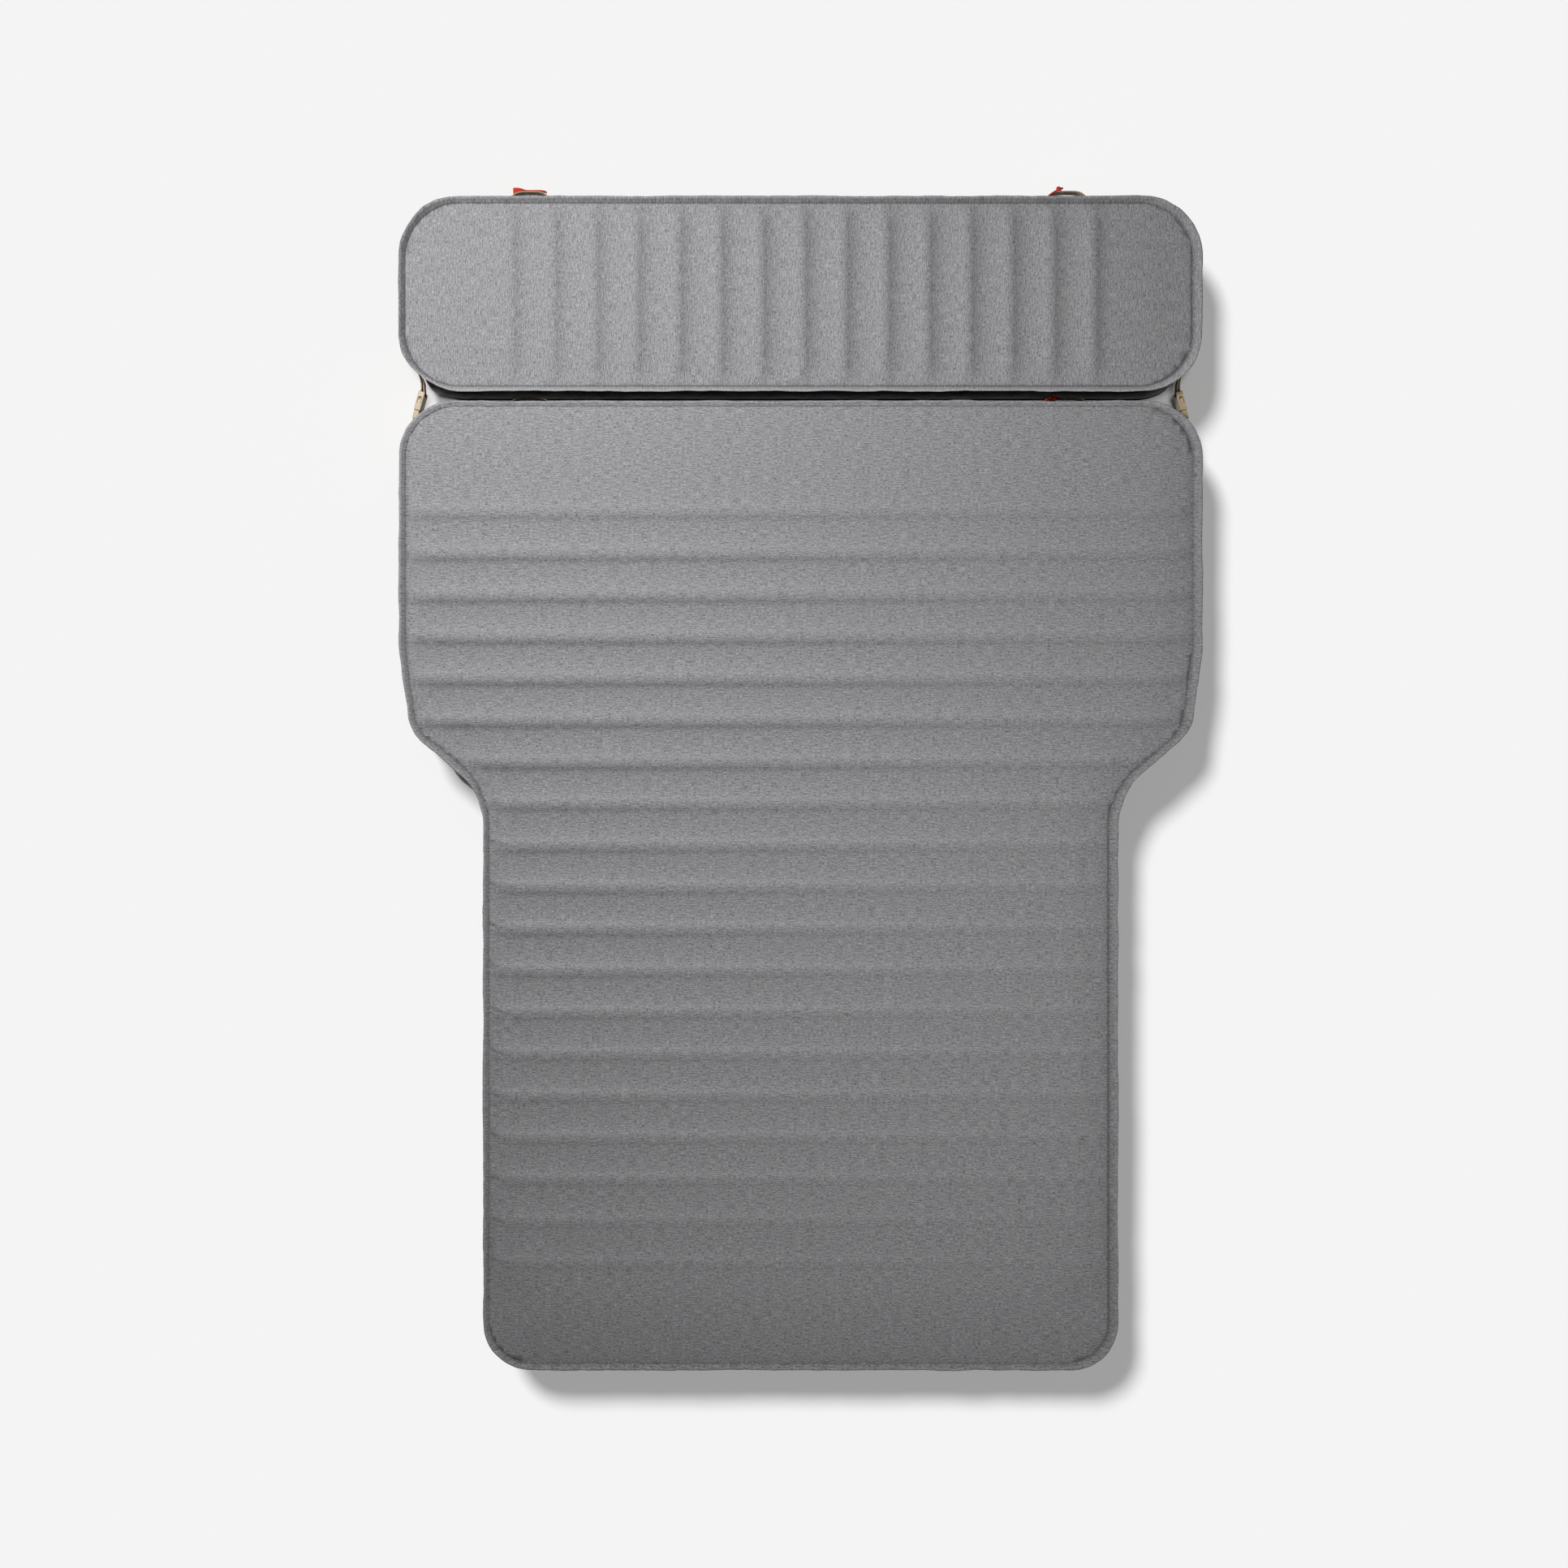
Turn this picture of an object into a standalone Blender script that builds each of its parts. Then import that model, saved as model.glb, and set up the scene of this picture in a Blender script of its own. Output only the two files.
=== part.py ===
"""A self-inflating mattress for the back of a car, laid out flat on the ground.

It is two foam-cored pads: a long T-shaped main pad, narrow at the foot to pass between wheel arches, and a
head pad across its wide end. Two short straps with side-release buckles join them at the corners. Each pad is
a foam core in an airtight skin: a channelled knit top, a coated side wall and a coated base, with a twist
valve in a hidden wall. X runs across the bed, +Y is the head end and the base lies on Z = 0, in metres.
"""

import math

import bpy
import bmesh
from mathutils import Matrix, Vector

# Overall sizes.
PAD_WIDTH = 1.341
MAIN_LENGTH = 1.6184
NARROW_WIDTH = 1.059
HEAD_DEPTH = 0.326
PAD_GAP = 0.0142
SEAM_HEIGHT = 0.088
CROWN_RISE = 0.012
RUNNING_GAP = 0.0003
CUT_OVERRUN = 0.004

# Outline of the main pad, measured from its head end, and the corner radii of both pads.
MAIN_CORNER_RADIUS = 0.095
HEAD_CORNER_RADIUS = 0.100
FOOT_CORNER_RADIUS = 0.079
TAPER_FROM_HEAD = 0.414
TAPER_RADIUS = 0.300
SHOULDER_FROM_HEAD = 0.554
SHOULDER_DRAW_IN = 0.019
SHOULDER_RADIUS = 0.070
NOTCH_FROM_HEAD = 0.658
NOTCH_RADIUS = 0.110
CORNER_STEPS = 6
SHOULDER_STEPS = 4
TAPER_STEPS = 2

# The skin: knit top, weld flange round its edge, bulging side wall, base.
FLANGE_WIDTH = 0.0135
FLANGE_THICKNESS = 0.003
FLANGE_EDGE_THICKNESS = 0.002
FLANGE_RISE = 0.005
TOP_THICKNESS = 0.0012
WALL_THICKNESS = 0.0012
WALL_INSET = 0.0075
WALL_SEAM_INSET = 0.0125
WALL_BAND_LOW = 0.018
WALL_BAND_HIGH = 0.072
BASE_THICKNESS = 0.0015
BASE_INSET = 0.006

# Channels sewn across the top, and how the top rises from its seam.
CHANNEL_START = 0.197
CHANNEL_PITCH = 0.0697
MAIN_CHANNELS = 19
HEAD_CHANNELS = 15
CHANNEL_DEPTH = 0.006
CHANNEL_HALF_WIDTH = 0.010
CHANNEL_RUN_OUT = 0.020
EDGE_ROLL = 0.012
CROWN_RUN = 0.045
CORE_TOP_INSET = 0.062
STATION_SPACING = 0.001

# Webbing: its width stands upright, at one height all round.
WEBBING_WIDTH = 0.025
WEBBING_THICKNESS = 0.0015
WEBBING_HEIGHT = 0.0525
MITRE_LIMIT = 0.5
LOOP_OFFSET = 0.4495
LOOP_SPAN = 0.060
LOOP_TAB = 0.010
LOOP_STEPS = 12
HEAD_LOOP_BOW = 0.023
MAIN_LOOP_BOW = 0.016

# Red ribbon on the head pad's left loop: where it bears on the loop, and its ends' distance from the wall.
RIBBON_WIDTH = 0.012
RIBBON_THICKNESS = 0.0008
RIBBON_BEARING_STEPS = 2
RIBBON_LEFT_REACH = 0.024
RIBBON_LEFT_STAND = 0.0300
RIBBON_RIGHT_REACH = 0.021
RIBBON_RIGHT_STAND = 0.0120

# Twist valves, one in the main pad's foot wall and one in the head pad's back wall.
VALVE_OFFSET = 0.250
VALVE_HEIGHT = 0.045
VALVE_FLANGE_RADIUS = 0.022
VALVE_FLANGE_THICKNESS = 0.002
VALVE_BORE_RADIUS = 0.0125
VALVE_BARREL_WALL = 0.002
VALVE_BARREL_DEPTH = 0.016
VALVE_LIP = 0.002
VALVE_LIP_THICKNESS = 0.0015
VALVE_POCKET_CLEARANCE = 0.001
COLLAR_RADIUS = 0.0175
COLLAR_BORE_RADIUS = 0.0100
COLLAR_HEIGHT = 0.005
COLLAR_SLEEVE_DEPTH = 0.0138
COLLAR_GRIP_DEPTH = 0.001
COLLAR_GRIPS = 12
COLLAR_GRIP_RADIUS = 0.0016
SPIDER_THICKNESS = 0.0012
SPIDER_ARM_WIDTH = 0.0022
SPIDER_HUB_RADIUS = 0.0032
FLAP_STEM_RADIUS = 0.0010
FLAP_THICKNESS = 0.0009
FLAP_HEAD_RADIUS = 0.0019
FLAP_HEAD_LENGTH = 0.0012
CAP_RADIUS = 0.0160
CAP_THICKNESS = 0.0024
CAP_DOME = 0.0004
CAP_PLUG_RADIUS = 0.0092
CAP_PLUG_WALL = 0.0010
CAP_PLUG_LENGTH = 0.0032
HINGE_RADIAL = 0.0190
HINGE_PIN_RADIUS = 0.0008
HINGE_KNUCKLE_RADIUS = 0.0016
HINGE_EAR_INNER = 0.0035
HINGE_EAR_OUTER = 0.0055
HINGE_EAR_ROOT = 0.0163
HINGE_EAR_TIP = 0.0018
VALVE_SIDES = 24
PIN_SIDES = 12
FLUTE_SIDES = 8

# Side-release buckles on the corner straps. Lengths run headwards from the socket's mouth.
BUCKLE_MOUTH = 0.0623
SOCKET_LENGTH = 0.0325
SOCKET_HALF_WIDTH = 0.0172
SOCKET_HALF_THICKNESS = 0.0055
SOCKET_MOUTH_HALF_WIDTH = 0.0150
CAVITY_DEPTH = 0.0245
CAVITY_HALF_THICKNESS = 0.0035
WINDOW_START = 0.0120
WINDOW_END = 0.0240
WINDOW_ARCH_STEPS = 6
BAR_WIDTH = 0.0030
BAR_HALF_THICKNESS = 0.0015
SLOT_WIDTH = 0.0035
SLOT_HALF_LENGTH = 0.0132
SOCKET_EDGE_RADIUS = 0.0012
PLUG_LENGTH = 0.0150
PLUG_HALF_WIDTH = 0.0165
PLUG_HALF_THICKNESS = 0.0045
PRONG_LENGTH = 0.0200
PRONG_HALF_WIDTH = 0.0032
PRONG_HALF_THICKNESS = 0.0025
PRONG_TAPER = 0.0040
ARM_PIVOT = 0.0010
ARM_PIVOT_HEIGHT = 0.0095
ARM_HALF_THICKNESS = 0.0028
ARM_ROOT_HALF_WIDTH = 0.0018
ARM_BEAM_HALF_WIDTH = 0.0012
ARM_PAD_HEIGHT = 0.0165
ARM_TIP_HEIGHT = 0.0130
ARM_LENGTH = 0.0235
ARM_BEAM_START = 0.0030

# Straps: how far each lies along its pad's wall, and the steps along its free run, return and bends.
HEAD_STRAP_STEPS = 2
MAIN_STRAP_LAP = 0.030
STRAP_BEND_STEPS = 7
STRAP_RETURN_STEPS = 4
WRAP_STEPS = 2

# Knotted red pull cords over the right-hand loops. A route's points are across, out from the wall, and up.
CORD_RADIUS = 0.0015
CORD_POINTS_PER_SPAN = 1
KNOT_RADIUS = 0.0042
HEAD_CORD_ROUTE = (
    (0.4105, 0.0007, 0.0695),
    (0.4118, 0.0070, 0.0695),
    (0.4150, 0.0125, 0.0690),
    (0.4200, 0.0175, 0.0675),
    (0.4260, 0.0220, 0.0650),
    (0.4317, 0.0258, 0.0619),
)
HEAD_KNOT_PLACE = (0.4352, 0.0280, 0.0600)
HEAD_KNOT_TAIL = (0.4420, 0.0310, 0.0585)
MAIN_CORD_ROUTE = (
    (0.4080, 0.0007, 0.0695),
    (0.4088, 0.0060, 0.0697),
    (0.4112, 0.0105, 0.0697),
    (0.4152, 0.0135, 0.0690),
    (0.4200, 0.0152, 0.0677),
    (0.4237, 0.0160, 0.0664),
)
MAIN_KNOT_PLACE = (0.4280, 0.0165, 0.0650)
MAIN_KNOT_TAIL = (0.4360, 0.0160, 0.0630)

# What follows from those sizes.
LOOP_REACH = RUNNING_GAP + WEBBING_THICKNESS + HEAD_LOOP_BOW
TAB_REACH = RIBBON_LEFT_STAND + RIBBON_THICKNESS / 2
WALL_REACH = max(LOOP_REACH, TAB_REACH) - WALL_INSET
VALVE_STACK = VALVE_FLANGE_THICKNESS + COLLAR_HEIGHT + RUNNING_GAP * 3
HINGE_OUT = VALVE_STACK + CAP_THICKNESS / 2
VALVE_REACH = HINGE_OUT + max(HINGE_KNUCKLE_RADIUS, CAP_THICKNESS / 2 + CAP_DOME, HINGE_EAR_TIP)
OVERALL_LENGTH = VALVE_REACH - WALL_INSET + MAIN_LENGTH + PAD_GAP + HEAD_DEPTH + WALL_REACH
FOOT_Y = -OVERALL_LENGTH / 2 + VALVE_REACH - WALL_INSET
MAIN_HEAD_Y = FOOT_Y + MAIN_LENGTH
HEAD_FRONT_Y = MAIN_HEAD_Y + PAD_GAP
HEAD_BACK_Y = HEAD_FRONT_Y + HEAD_DEPTH
TOP_HEIGHT = SEAM_HEIGHT + CROWN_RISE
BASE_TOP = BASE_THICKNESS + RUNNING_GAP
WALL_TOP = SEAM_HEIGHT - FLANGE_THICKNESS - RUNNING_GAP
TOP_INSET = FLANGE_WIDTH + RUNNING_GAP
CORE_TOP = TOP_HEIGHT - CHANNEL_DEPTH - TOP_THICKNESS - RUNNING_GAP
CORNER_ANGLE = math.radians(90) / CORNER_STEPS
WEBBING_STAND = RUNNING_GAP + WEBBING_THICKNESS / 2

GREY_KNIT = ("grey_knit", (0.33, 0.33, 0.34), 0.90, 0.0)
BLACK_COATED = ("black_coated", (0.012, 0.012, 0.013), 0.55, 0.0)
FOAM = ("open_cell_foam", (0.72, 0.66, 0.50), 0.95, 0.0)
TAN_WEBBING = ("tan_webbing", (0.52, 0.38, 0.24), 0.85, 0.0)
TAN_ACETAL = ("tan_acetal", (0.56, 0.42, 0.27), 0.40, 0.0)
RED_CORD = ("red_cord", (0.62, 0.03, 0.03), 0.60, 0.0)
BLACK_NYLON = ("black_nylon", (0.018, 0.018, 0.018), 0.45, 0.0)
BLACK_SILICONE = ("black_silicone", (0.025, 0.025, 0.027), 0.60, 0.0)


def clear_scene():
    for old in list(bpy.data.objects):
        bpy.data.objects.remove(old, do_unlink=True)


def make_material(node, finish):
    """Each piece has its own material, of one of the finishes above."""
    name, colour, roughness, metallic = finish
    material = bpy.data.materials.new(node + "_" + name)
    material.use_nodes = True
    shader = material.node_tree.nodes["Principled BSDF"]
    shader.inputs["Base Color"].default_value = (*colour, 1)
    shader.inputs["Roughness"].default_value = roughness
    shader.inputs["Metallic"].default_value = metallic
    return material


def place(thing, parent):
    """Hangs an object on an axis empty, and leaves it where its mesh is."""
    if parent is not None:
        thing.parent = parent
        thing.matrix_parent_inverse = parent_matrix(parent).inverted()


def parent_matrix(thing):
    """The world matrix of an unscaled empty, before the scene has been updated."""
    own = Matrix.Translation(thing.location) @ thing.rotation_euler.to_matrix().to_4x4()
    return own


def add_piece(node, bm, finish, parent=None, smooth_angle=None):
    """Closes a bmesh off as a named piece with faces outward."""
    bmesh.ops.recalc_face_normals(bm, faces=bm.faces)
    mesh = bpy.data.meshes.new(node)
    bm.to_mesh(mesh)
    bm.free()
    if smooth_angle is not None:
        mesh.shade_smooth()
        mesh.set_sharp_from_angle(angle=smooth_angle)
    piece = bpy.data.objects.new(node, mesh)
    bpy.context.scene.collection.objects.link(piece)
    mesh.materials.append(make_material(node, finish))
    place(piece, parent)
    return piece


def add_axis(name, location, rotation=(0, 0, 0)):
    """An empty on the axis that its children turn about."""
    axis = bpy.data.objects.new(name, None)
    bpy.context.scene.collection.objects.link(axis)
    axis.location = location
    axis.rotation_euler = rotation
    return axis


def boolean(target, tool, operation):
    """Cuts or joins with another object, which is then only a guide."""
    modifier = target.modifiers.new(tool.name, "BOOLEAN")
    modifier.operation = operation
    modifier.solver = "EXACT"
    modifier.object = tool
    tool.hide_render = True
    tool.display_type = "WIRE"


SMOOTH = math.radians(35)


# Outlines. A pad's outline is a list of points and outward normals, clockwise from its head end's middle.


def rounded_half(corners):
    """Right half of an outline: straight edges, with an arc of its own radius and steps at each corner."""
    samples = []
    for before, corner, after in zip(corners, corners[1:], corners[2:]):
        point = Vector(corner[:2])
        arriving = (point - Vector(before[:2])).normalized()
        leaving = (Vector(after[:2]) - point).normalized()
        turn = arriving.angle_signed(leaving)
        radius, steps = corner[2:]
        outward = Vector((-arriving.y, arriving.x))
        side = 1 if turn > 0 else -1
        start = point - arriving * radius * math.tan(abs(turn) / 2)
        centre = start - outward * radius * side
        for step in range(steps + 1):
            spoke = outward.copy()
            spoke.rotate(Matrix.Rotation(-turn * step / steps, 2))
            samples.append((centre + spoke * radius * side, spoke))
    return samples


def whole_outline(half):
    """The half and its mirror image, still clockwise."""
    mirrored = [(Vector((-p.x, p.y)), Vector((-n.x, n.y))) for p, n in reversed(half)]
    return half + mirrored


def ring(outline, inset, height):
    return [Vector((*(point - normal * inset), height)) for point, normal in outline]


def main_half_outline():
    wide = PAD_WIDTH / 2
    narrow = NARROW_WIDTH / 2
    return rounded_half([
        (0, MAIN_HEAD_Y),
        (wide, MAIN_HEAD_Y, MAIN_CORNER_RADIUS, CORNER_STEPS),
        (wide, MAIN_HEAD_Y - TAPER_FROM_HEAD, TAPER_RADIUS, TAPER_STEPS),
        (wide - SHOULDER_DRAW_IN, MAIN_HEAD_Y - SHOULDER_FROM_HEAD, SHOULDER_RADIUS, SHOULDER_STEPS),
        (narrow, MAIN_HEAD_Y - NOTCH_FROM_HEAD, NOTCH_RADIUS, SHOULDER_STEPS),
        (narrow, FOOT_Y, FOOT_CORNER_RADIUS, CORNER_STEPS),
        (0, FOOT_Y),
    ])


def head_half_outline():
    wide = PAD_WIDTH / 2
    return rounded_half([
        (0, HEAD_BACK_Y),
        (wide, HEAD_BACK_Y, HEAD_CORNER_RADIUS, CORNER_STEPS),
        (wide, HEAD_FRONT_Y, HEAD_CORNER_RADIUS, CORNER_STEPS),
        (0, HEAD_FRONT_Y),
    ])


def add_loft(bm, rings, as_tube):
    """Skins rings of equal count: with flat ends, or closed on itself like a tube."""
    rows = [[bm.verts.new(point) for point in points] for points in rings]
    count = len(rows[0])
    pairs = list(zip(rows, rows[1:]))
    if as_tube:
        pairs.append((rows[-1], rows[0]))
    else:
        bm.faces.new(rows[0])
        bm.faces.new(rows[-1])
    for lower, upper in pairs:
        for i in range(count):
            j = (i + 1) % count
            bm.faces.new((lower[i], lower[j], upper[j], upper[i]))


def loft_piece(node, rings, finish, parent, as_tube, smooth_angle=SMOOTH):
    bm = bmesh.new()
    add_loft(bm, rings, as_tube)
    return add_piece(node, bm, finish, parent, smooth_angle)


# Pads.


def wall_profile(depth):
    """Inset and height up the side wall, for a surface that lies so deep inside it."""
    return [
        (WALL_SEAM_INSET + depth, BASE_TOP),
        (WALL_INSET + depth, WALL_BAND_LOW),
        (WALL_INSET + depth, WALL_BAND_HIGH),
        (WALL_SEAM_INSET + depth, WALL_TOP),
    ]


def add_side_wall(node, outline, parent):
    """A coated strip all round the pad, upright in a band where things are sewn or welded on."""
    outer = wall_profile(0)
    inner = list(reversed(wall_profile(WALL_THICKNESS)))
    rings = [ring(outline, inset, height) for inset, height in outer + inner]
    return loft_piece(node, rings, BLACK_COATED, parent, True)


def add_base(node, outline, parent):
    """The coated underside, a little wider than the wall that is welded to it."""
    rings = [ring(outline, BASE_INSET, height) for height in (0, BASE_THICKNESS)]
    return loft_piece(node, rings, BLACK_COATED, parent, False)


def add_flange(node, outline, parent):
    """The welded edge of the top, which stands out past the wall and turns up a little."""
    middle = FLANGE_WIDTH / 2
    middle_rise = FLANGE_RISE / 3
    edge = SEAM_HEIGHT + FLANGE_RISE
    section = [
        (FLANGE_WIDTH, SEAM_HEIGHT - FLANGE_THICKNESS),
        (middle, SEAM_HEIGHT - FLANGE_THICKNESS + middle_rise),
        (0, edge - FLANGE_EDGE_THICKNESS),
        (0, edge),
        (middle, SEAM_HEIGHT + middle_rise),
        (FLANGE_WIDTH, SEAM_HEIGHT),
    ]
    rings = [ring(outline, inset, height) for inset, height in section]
    return loft_piece(node, rings, GREY_KNIT, parent, True)


def add_core(node, outline, parent):
    """The foam slab that fills the skin, with its top edge rounded off under the crown."""
    sides = wall_profile(WALL_THICKNESS + RUNNING_GAP)
    rings = [ring(outline, inset, height) for inset, height in sides]
    rings.append(ring(outline, CORE_TOP_INSET, CORE_TOP))
    return loft_piece(node, rings, FOAM, parent, False)


def eased(distance, run):
    """Rises from 0 at the seam to 1 after the run, steepest at the seam."""
    return math.sin(math.radians(90) * min(max(distance / run, 0), 1))


def add_top(node, half, along, channels, parent):
    """The knit top: crowned from its seam, and drawn down in channels straight across the pad.

    Along is the axis (0 for X, 1 for Y) that the channels follow one another on. Rows of points lie across
    it, at every point of the outline and at each channel's middle and edges.
    """
    across = 1 - along
    points = ring(whole_outline(half), TOP_INSET, 0)
    centre = (min(p[across] for p in points) + max(p[across] for p in points)) / 2
    edge = sorted((p[along], p[across] - centre) for p in points if p[across] >= centre)
    first, last = edge[0][0], edge[-1][0]
    grooves = [place_along + side * CHANNEL_HALF_WIDTH for place_along in channels for side in (-1, 0, 1)]
    stations = [position for position, _ in edge]
    for position in grooves:
        if min(abs(position - other) for other in stations) > STATION_SPACING:
            stations.append(position)
    stations.sort()

    def half_span(position):
        for (a, wide_a), (b, wide_b) in zip(edge, edge[1:]):
            if a <= position <= b:
                share = (position - a) / (b - a) if b > a else 0
                return wide_a + (wide_b - wide_a) * share
        return edge[-1][1]

    def height(position, inward):
        to_end = min(position - first, last - position)
        crown = CROWN_RISE * eased(inward, CROWN_RUN) * eased(to_end, CROWN_RUN)
        nearest = min(abs(position - groove) for groove in channels)
        groove = max(0, 1 - nearest / CHANNEL_HALF_WIDTH)
        return SEAM_HEIGHT + crown - CHANNEL_DEPTH * groove * min(1, inward / CHANNEL_RUN_OUT)

    bm = bmesh.new()
    rows = []
    for position in stations:
        span = half_span(position)
        row = []
        for inward, side in (
            (0, -1), (EDGE_ROLL, -1), (CROWN_RUN, -1), (span, 0), (CROWN_RUN, 1), (EDGE_ROLL, 1), (0, 1),
        ):
            place_across = centre + side * (span - inward)
            flat = (position, place_across) if along == 0 else (place_across, position)
            row.append(bm.verts.new((*flat, height(position, inward))))
        rows.append(row)
    for near, far in zip(rows, rows[1:]):
        for i in range(len(near) - 1):
            quad = (near[i], near[i + 1], far[i + 1], far[i])
            bm.faces.new(quad if along == 1 else tuple(reversed(quad)))
    mesh = bpy.data.meshes.new(node)
    bm.to_mesh(mesh)
    bm.free()
    mesh.shade_smooth()
    top = bpy.data.objects.new(node, mesh)
    bpy.context.scene.collection.objects.link(top)
    mesh.materials.append(make_material(node, GREY_KNIT))
    cloth = top.modifiers.new("knit", "SOLIDIFY")
    cloth.thickness = TOP_THICKNESS
    cloth.offset = -1
    place(top, parent)
    return top


def add_pad(name, half, along, channels, parent):
    outline = whole_outline(half)
    add_top(name + "_top_cover", half, along, channels, parent)
    add_flange(name + "_edge_flange", outline, parent)
    add_base(name + "_base_cover", outline, parent)
    wall = add_side_wall(name + "_side_wall", outline, parent)
    core = add_core(name + "_foam_core", outline, parent)
    return wall, core


# Webbing and ribbon.


def offset_path(points, distance):
    """The same path moved to its own left, with mitred corners."""
    moved = []
    for i, point in enumerate(points):
        before = points[max(i - 1, 0)]
        after = points[min(i + 1, len(points) - 1)]
        arriving = (point - before).normalized() if i else (after - point).normalized()
        leaving = (after - point).normalized() if after != point else arriving
        along = (arriving + leaving).normalized()
        reach = distance / max(along.dot(arriving), MITRE_LIMIT)
        moved.append(point + Vector((-along.y, along.x)) * reach)
    return moved


def add_ribbon(node, path, width, thickness, height, finish, parent=None):
    """A flat band on edge: its middle line in plan, its width upright about the given height."""
    points = [Vector(point) for point in path]
    left = offset_path(points, thickness / 2)
    right = offset_path(points, -thickness / 2)
    section = left + list(reversed(right))
    bm = bmesh.new()
    rings = [[Vector((*p, z)) for p in section] for z in (height - width / 2, height + width / 2)]
    count = len(points)
    low, high = [[bm.verts.new(p) for p in points_at] for points_at in rings]
    around = len(section)
    for i in range(around):
        j = (i + 1) % around
        bm.faces.new((low[i], low[j], high[j], high[i]))
    for level in (low, high):
        for i in range(count - 1):
            bm.faces.new((level[i], level[i + 1], level[around - 2 - i], level[around - 1 - i]))
    return add_piece(node, bm, finish, parent, SMOOTH)


def add_webbing(node, path, parent=None):
    return add_ribbon(node, path, WEBBING_WIDTH, WEBBING_THICKNESS, WEBBING_HEIGHT, TAN_WEBBING, parent)


def loop_path(centre_x, wall_y, bow):
    """Sewn flat at both ends, standing off the wall between them."""
    path = [Vector((centre_x - LOOP_SPAN / 2 - LOOP_TAB, wall_y + WEBBING_STAND))]
    for step in range(LOOP_STEPS + 1):
        share = step / LOOP_STEPS
        out = WEBBING_STAND + bow * math.sin(math.radians(180) * share) ** 2
        path.append(Vector((centre_x + LOOP_SPAN * (share - 1 / 2), wall_y + out)))
    path.append(Vector((centre_x + LOOP_SPAN / 2 + LOOP_TAB, wall_y + WEBBING_STAND)))
    return path


def add_loops(head_axis):
    """Two carry loops at the head end of each pad."""
    pads = (
        ("head", HEAD_BACK_Y - WALL_INSET, HEAD_LOOP_BOW, head_axis),
        ("main", MAIN_HEAD_Y - WALL_INSET, MAIN_LOOP_BOW, None),
    )
    for pad, wall, bow, parent in pads:
        for side, name in ((-1, "left"), (1, "right")):
            add_webbing(f"{pad}_loop_{name}", loop_path(side * LOOP_OFFSET, wall, bow), parent)


def add_ribbon_tab(head_axis):
    """A short red ribbon tacked to the outside of the left loop, with both ends free."""
    wall = HEAD_BACK_Y - WALL_INSET
    loop_middle = Vector((-LOOP_OFFSET, wall))
    stand = WEBBING_THICKNESS / 2 + RUNNING_GAP + RIBBON_THICKNESS / 2
    outside = offset_path(loop_path(-LOOP_OFFSET, wall, HEAD_LOOP_BOW), stand)
    middle = len(outside) // 2
    path = [
        loop_middle + Vector((-RIBBON_LEFT_REACH, RIBBON_LEFT_STAND)),
        *outside[middle - RIBBON_BEARING_STEPS:middle + RIBBON_BEARING_STEPS + 1],
        loop_middle + Vector((RIBBON_RIGHT_REACH, RIBBON_RIGHT_STAND)),
    ]
    add_ribbon("head_pull_tab", path, RIBBON_WIDTH, RIBBON_THICKNESS, WEBBING_HEIGHT, RED_CORD, head_axis)


# Buckles, built along their own Y with their thickness on X, then turned into line with their strap.


def box(name, low, high):
    """A plain block between two corners."""
    bm = bmesh.new()
    bmesh.ops.create_cube(bm, size=1)
    for vert in bm.verts:
        for axis in range(3):
            vert.co[axis] = high[axis] if vert.co[axis] > 0 else low[axis]
    mesh = bpy.data.meshes.new(name)
    bm.to_mesh(mesh)
    bm.free()
    block = bpy.data.objects.new(name, mesh)
    bpy.context.scene.collection.objects.link(block)
    return block


def side_profile(name, points, half_thickness):
    """A plate of the given outline along the buckle and up, with its thickness across."""
    bm = bmesh.new()
    bottom = bm.faces.new([bm.verts.new((-half_thickness, *point)) for point in points])
    grown = bmesh.ops.extrude_face_region(bm, geom=[bottom])
    moved = [item for item in grown["geom"] if isinstance(item, bmesh.types.BMVert)]
    bmesh.ops.translate(bm, verts=moved, vec=(2 * half_thickness, 0, 0))
    bmesh.ops.recalc_face_normals(bm, faces=bm.faces)
    mesh = bpy.data.meshes.new(name)
    bm.to_mesh(mesh)
    bm.free()
    plate = bpy.data.objects.new(name, mesh)
    bpy.context.scene.collection.objects.link(plate)
    return plate


def soften(thing, width):
    """Rounds a moulding's outer edges."""
    bevel = thing.modifiers.new("edge", "BEVEL")
    bevel.width = width
    bevel.segments = 2
    bevel.limit_method = "ANGLE"


def set_parent(thing, axis):
    """Follows a turned empty in the empty's own frame."""
    thing.parent = axis


def finish_piece(thing, finish):
    thing.data.materials.append(make_material(thing.name, finish))


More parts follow.
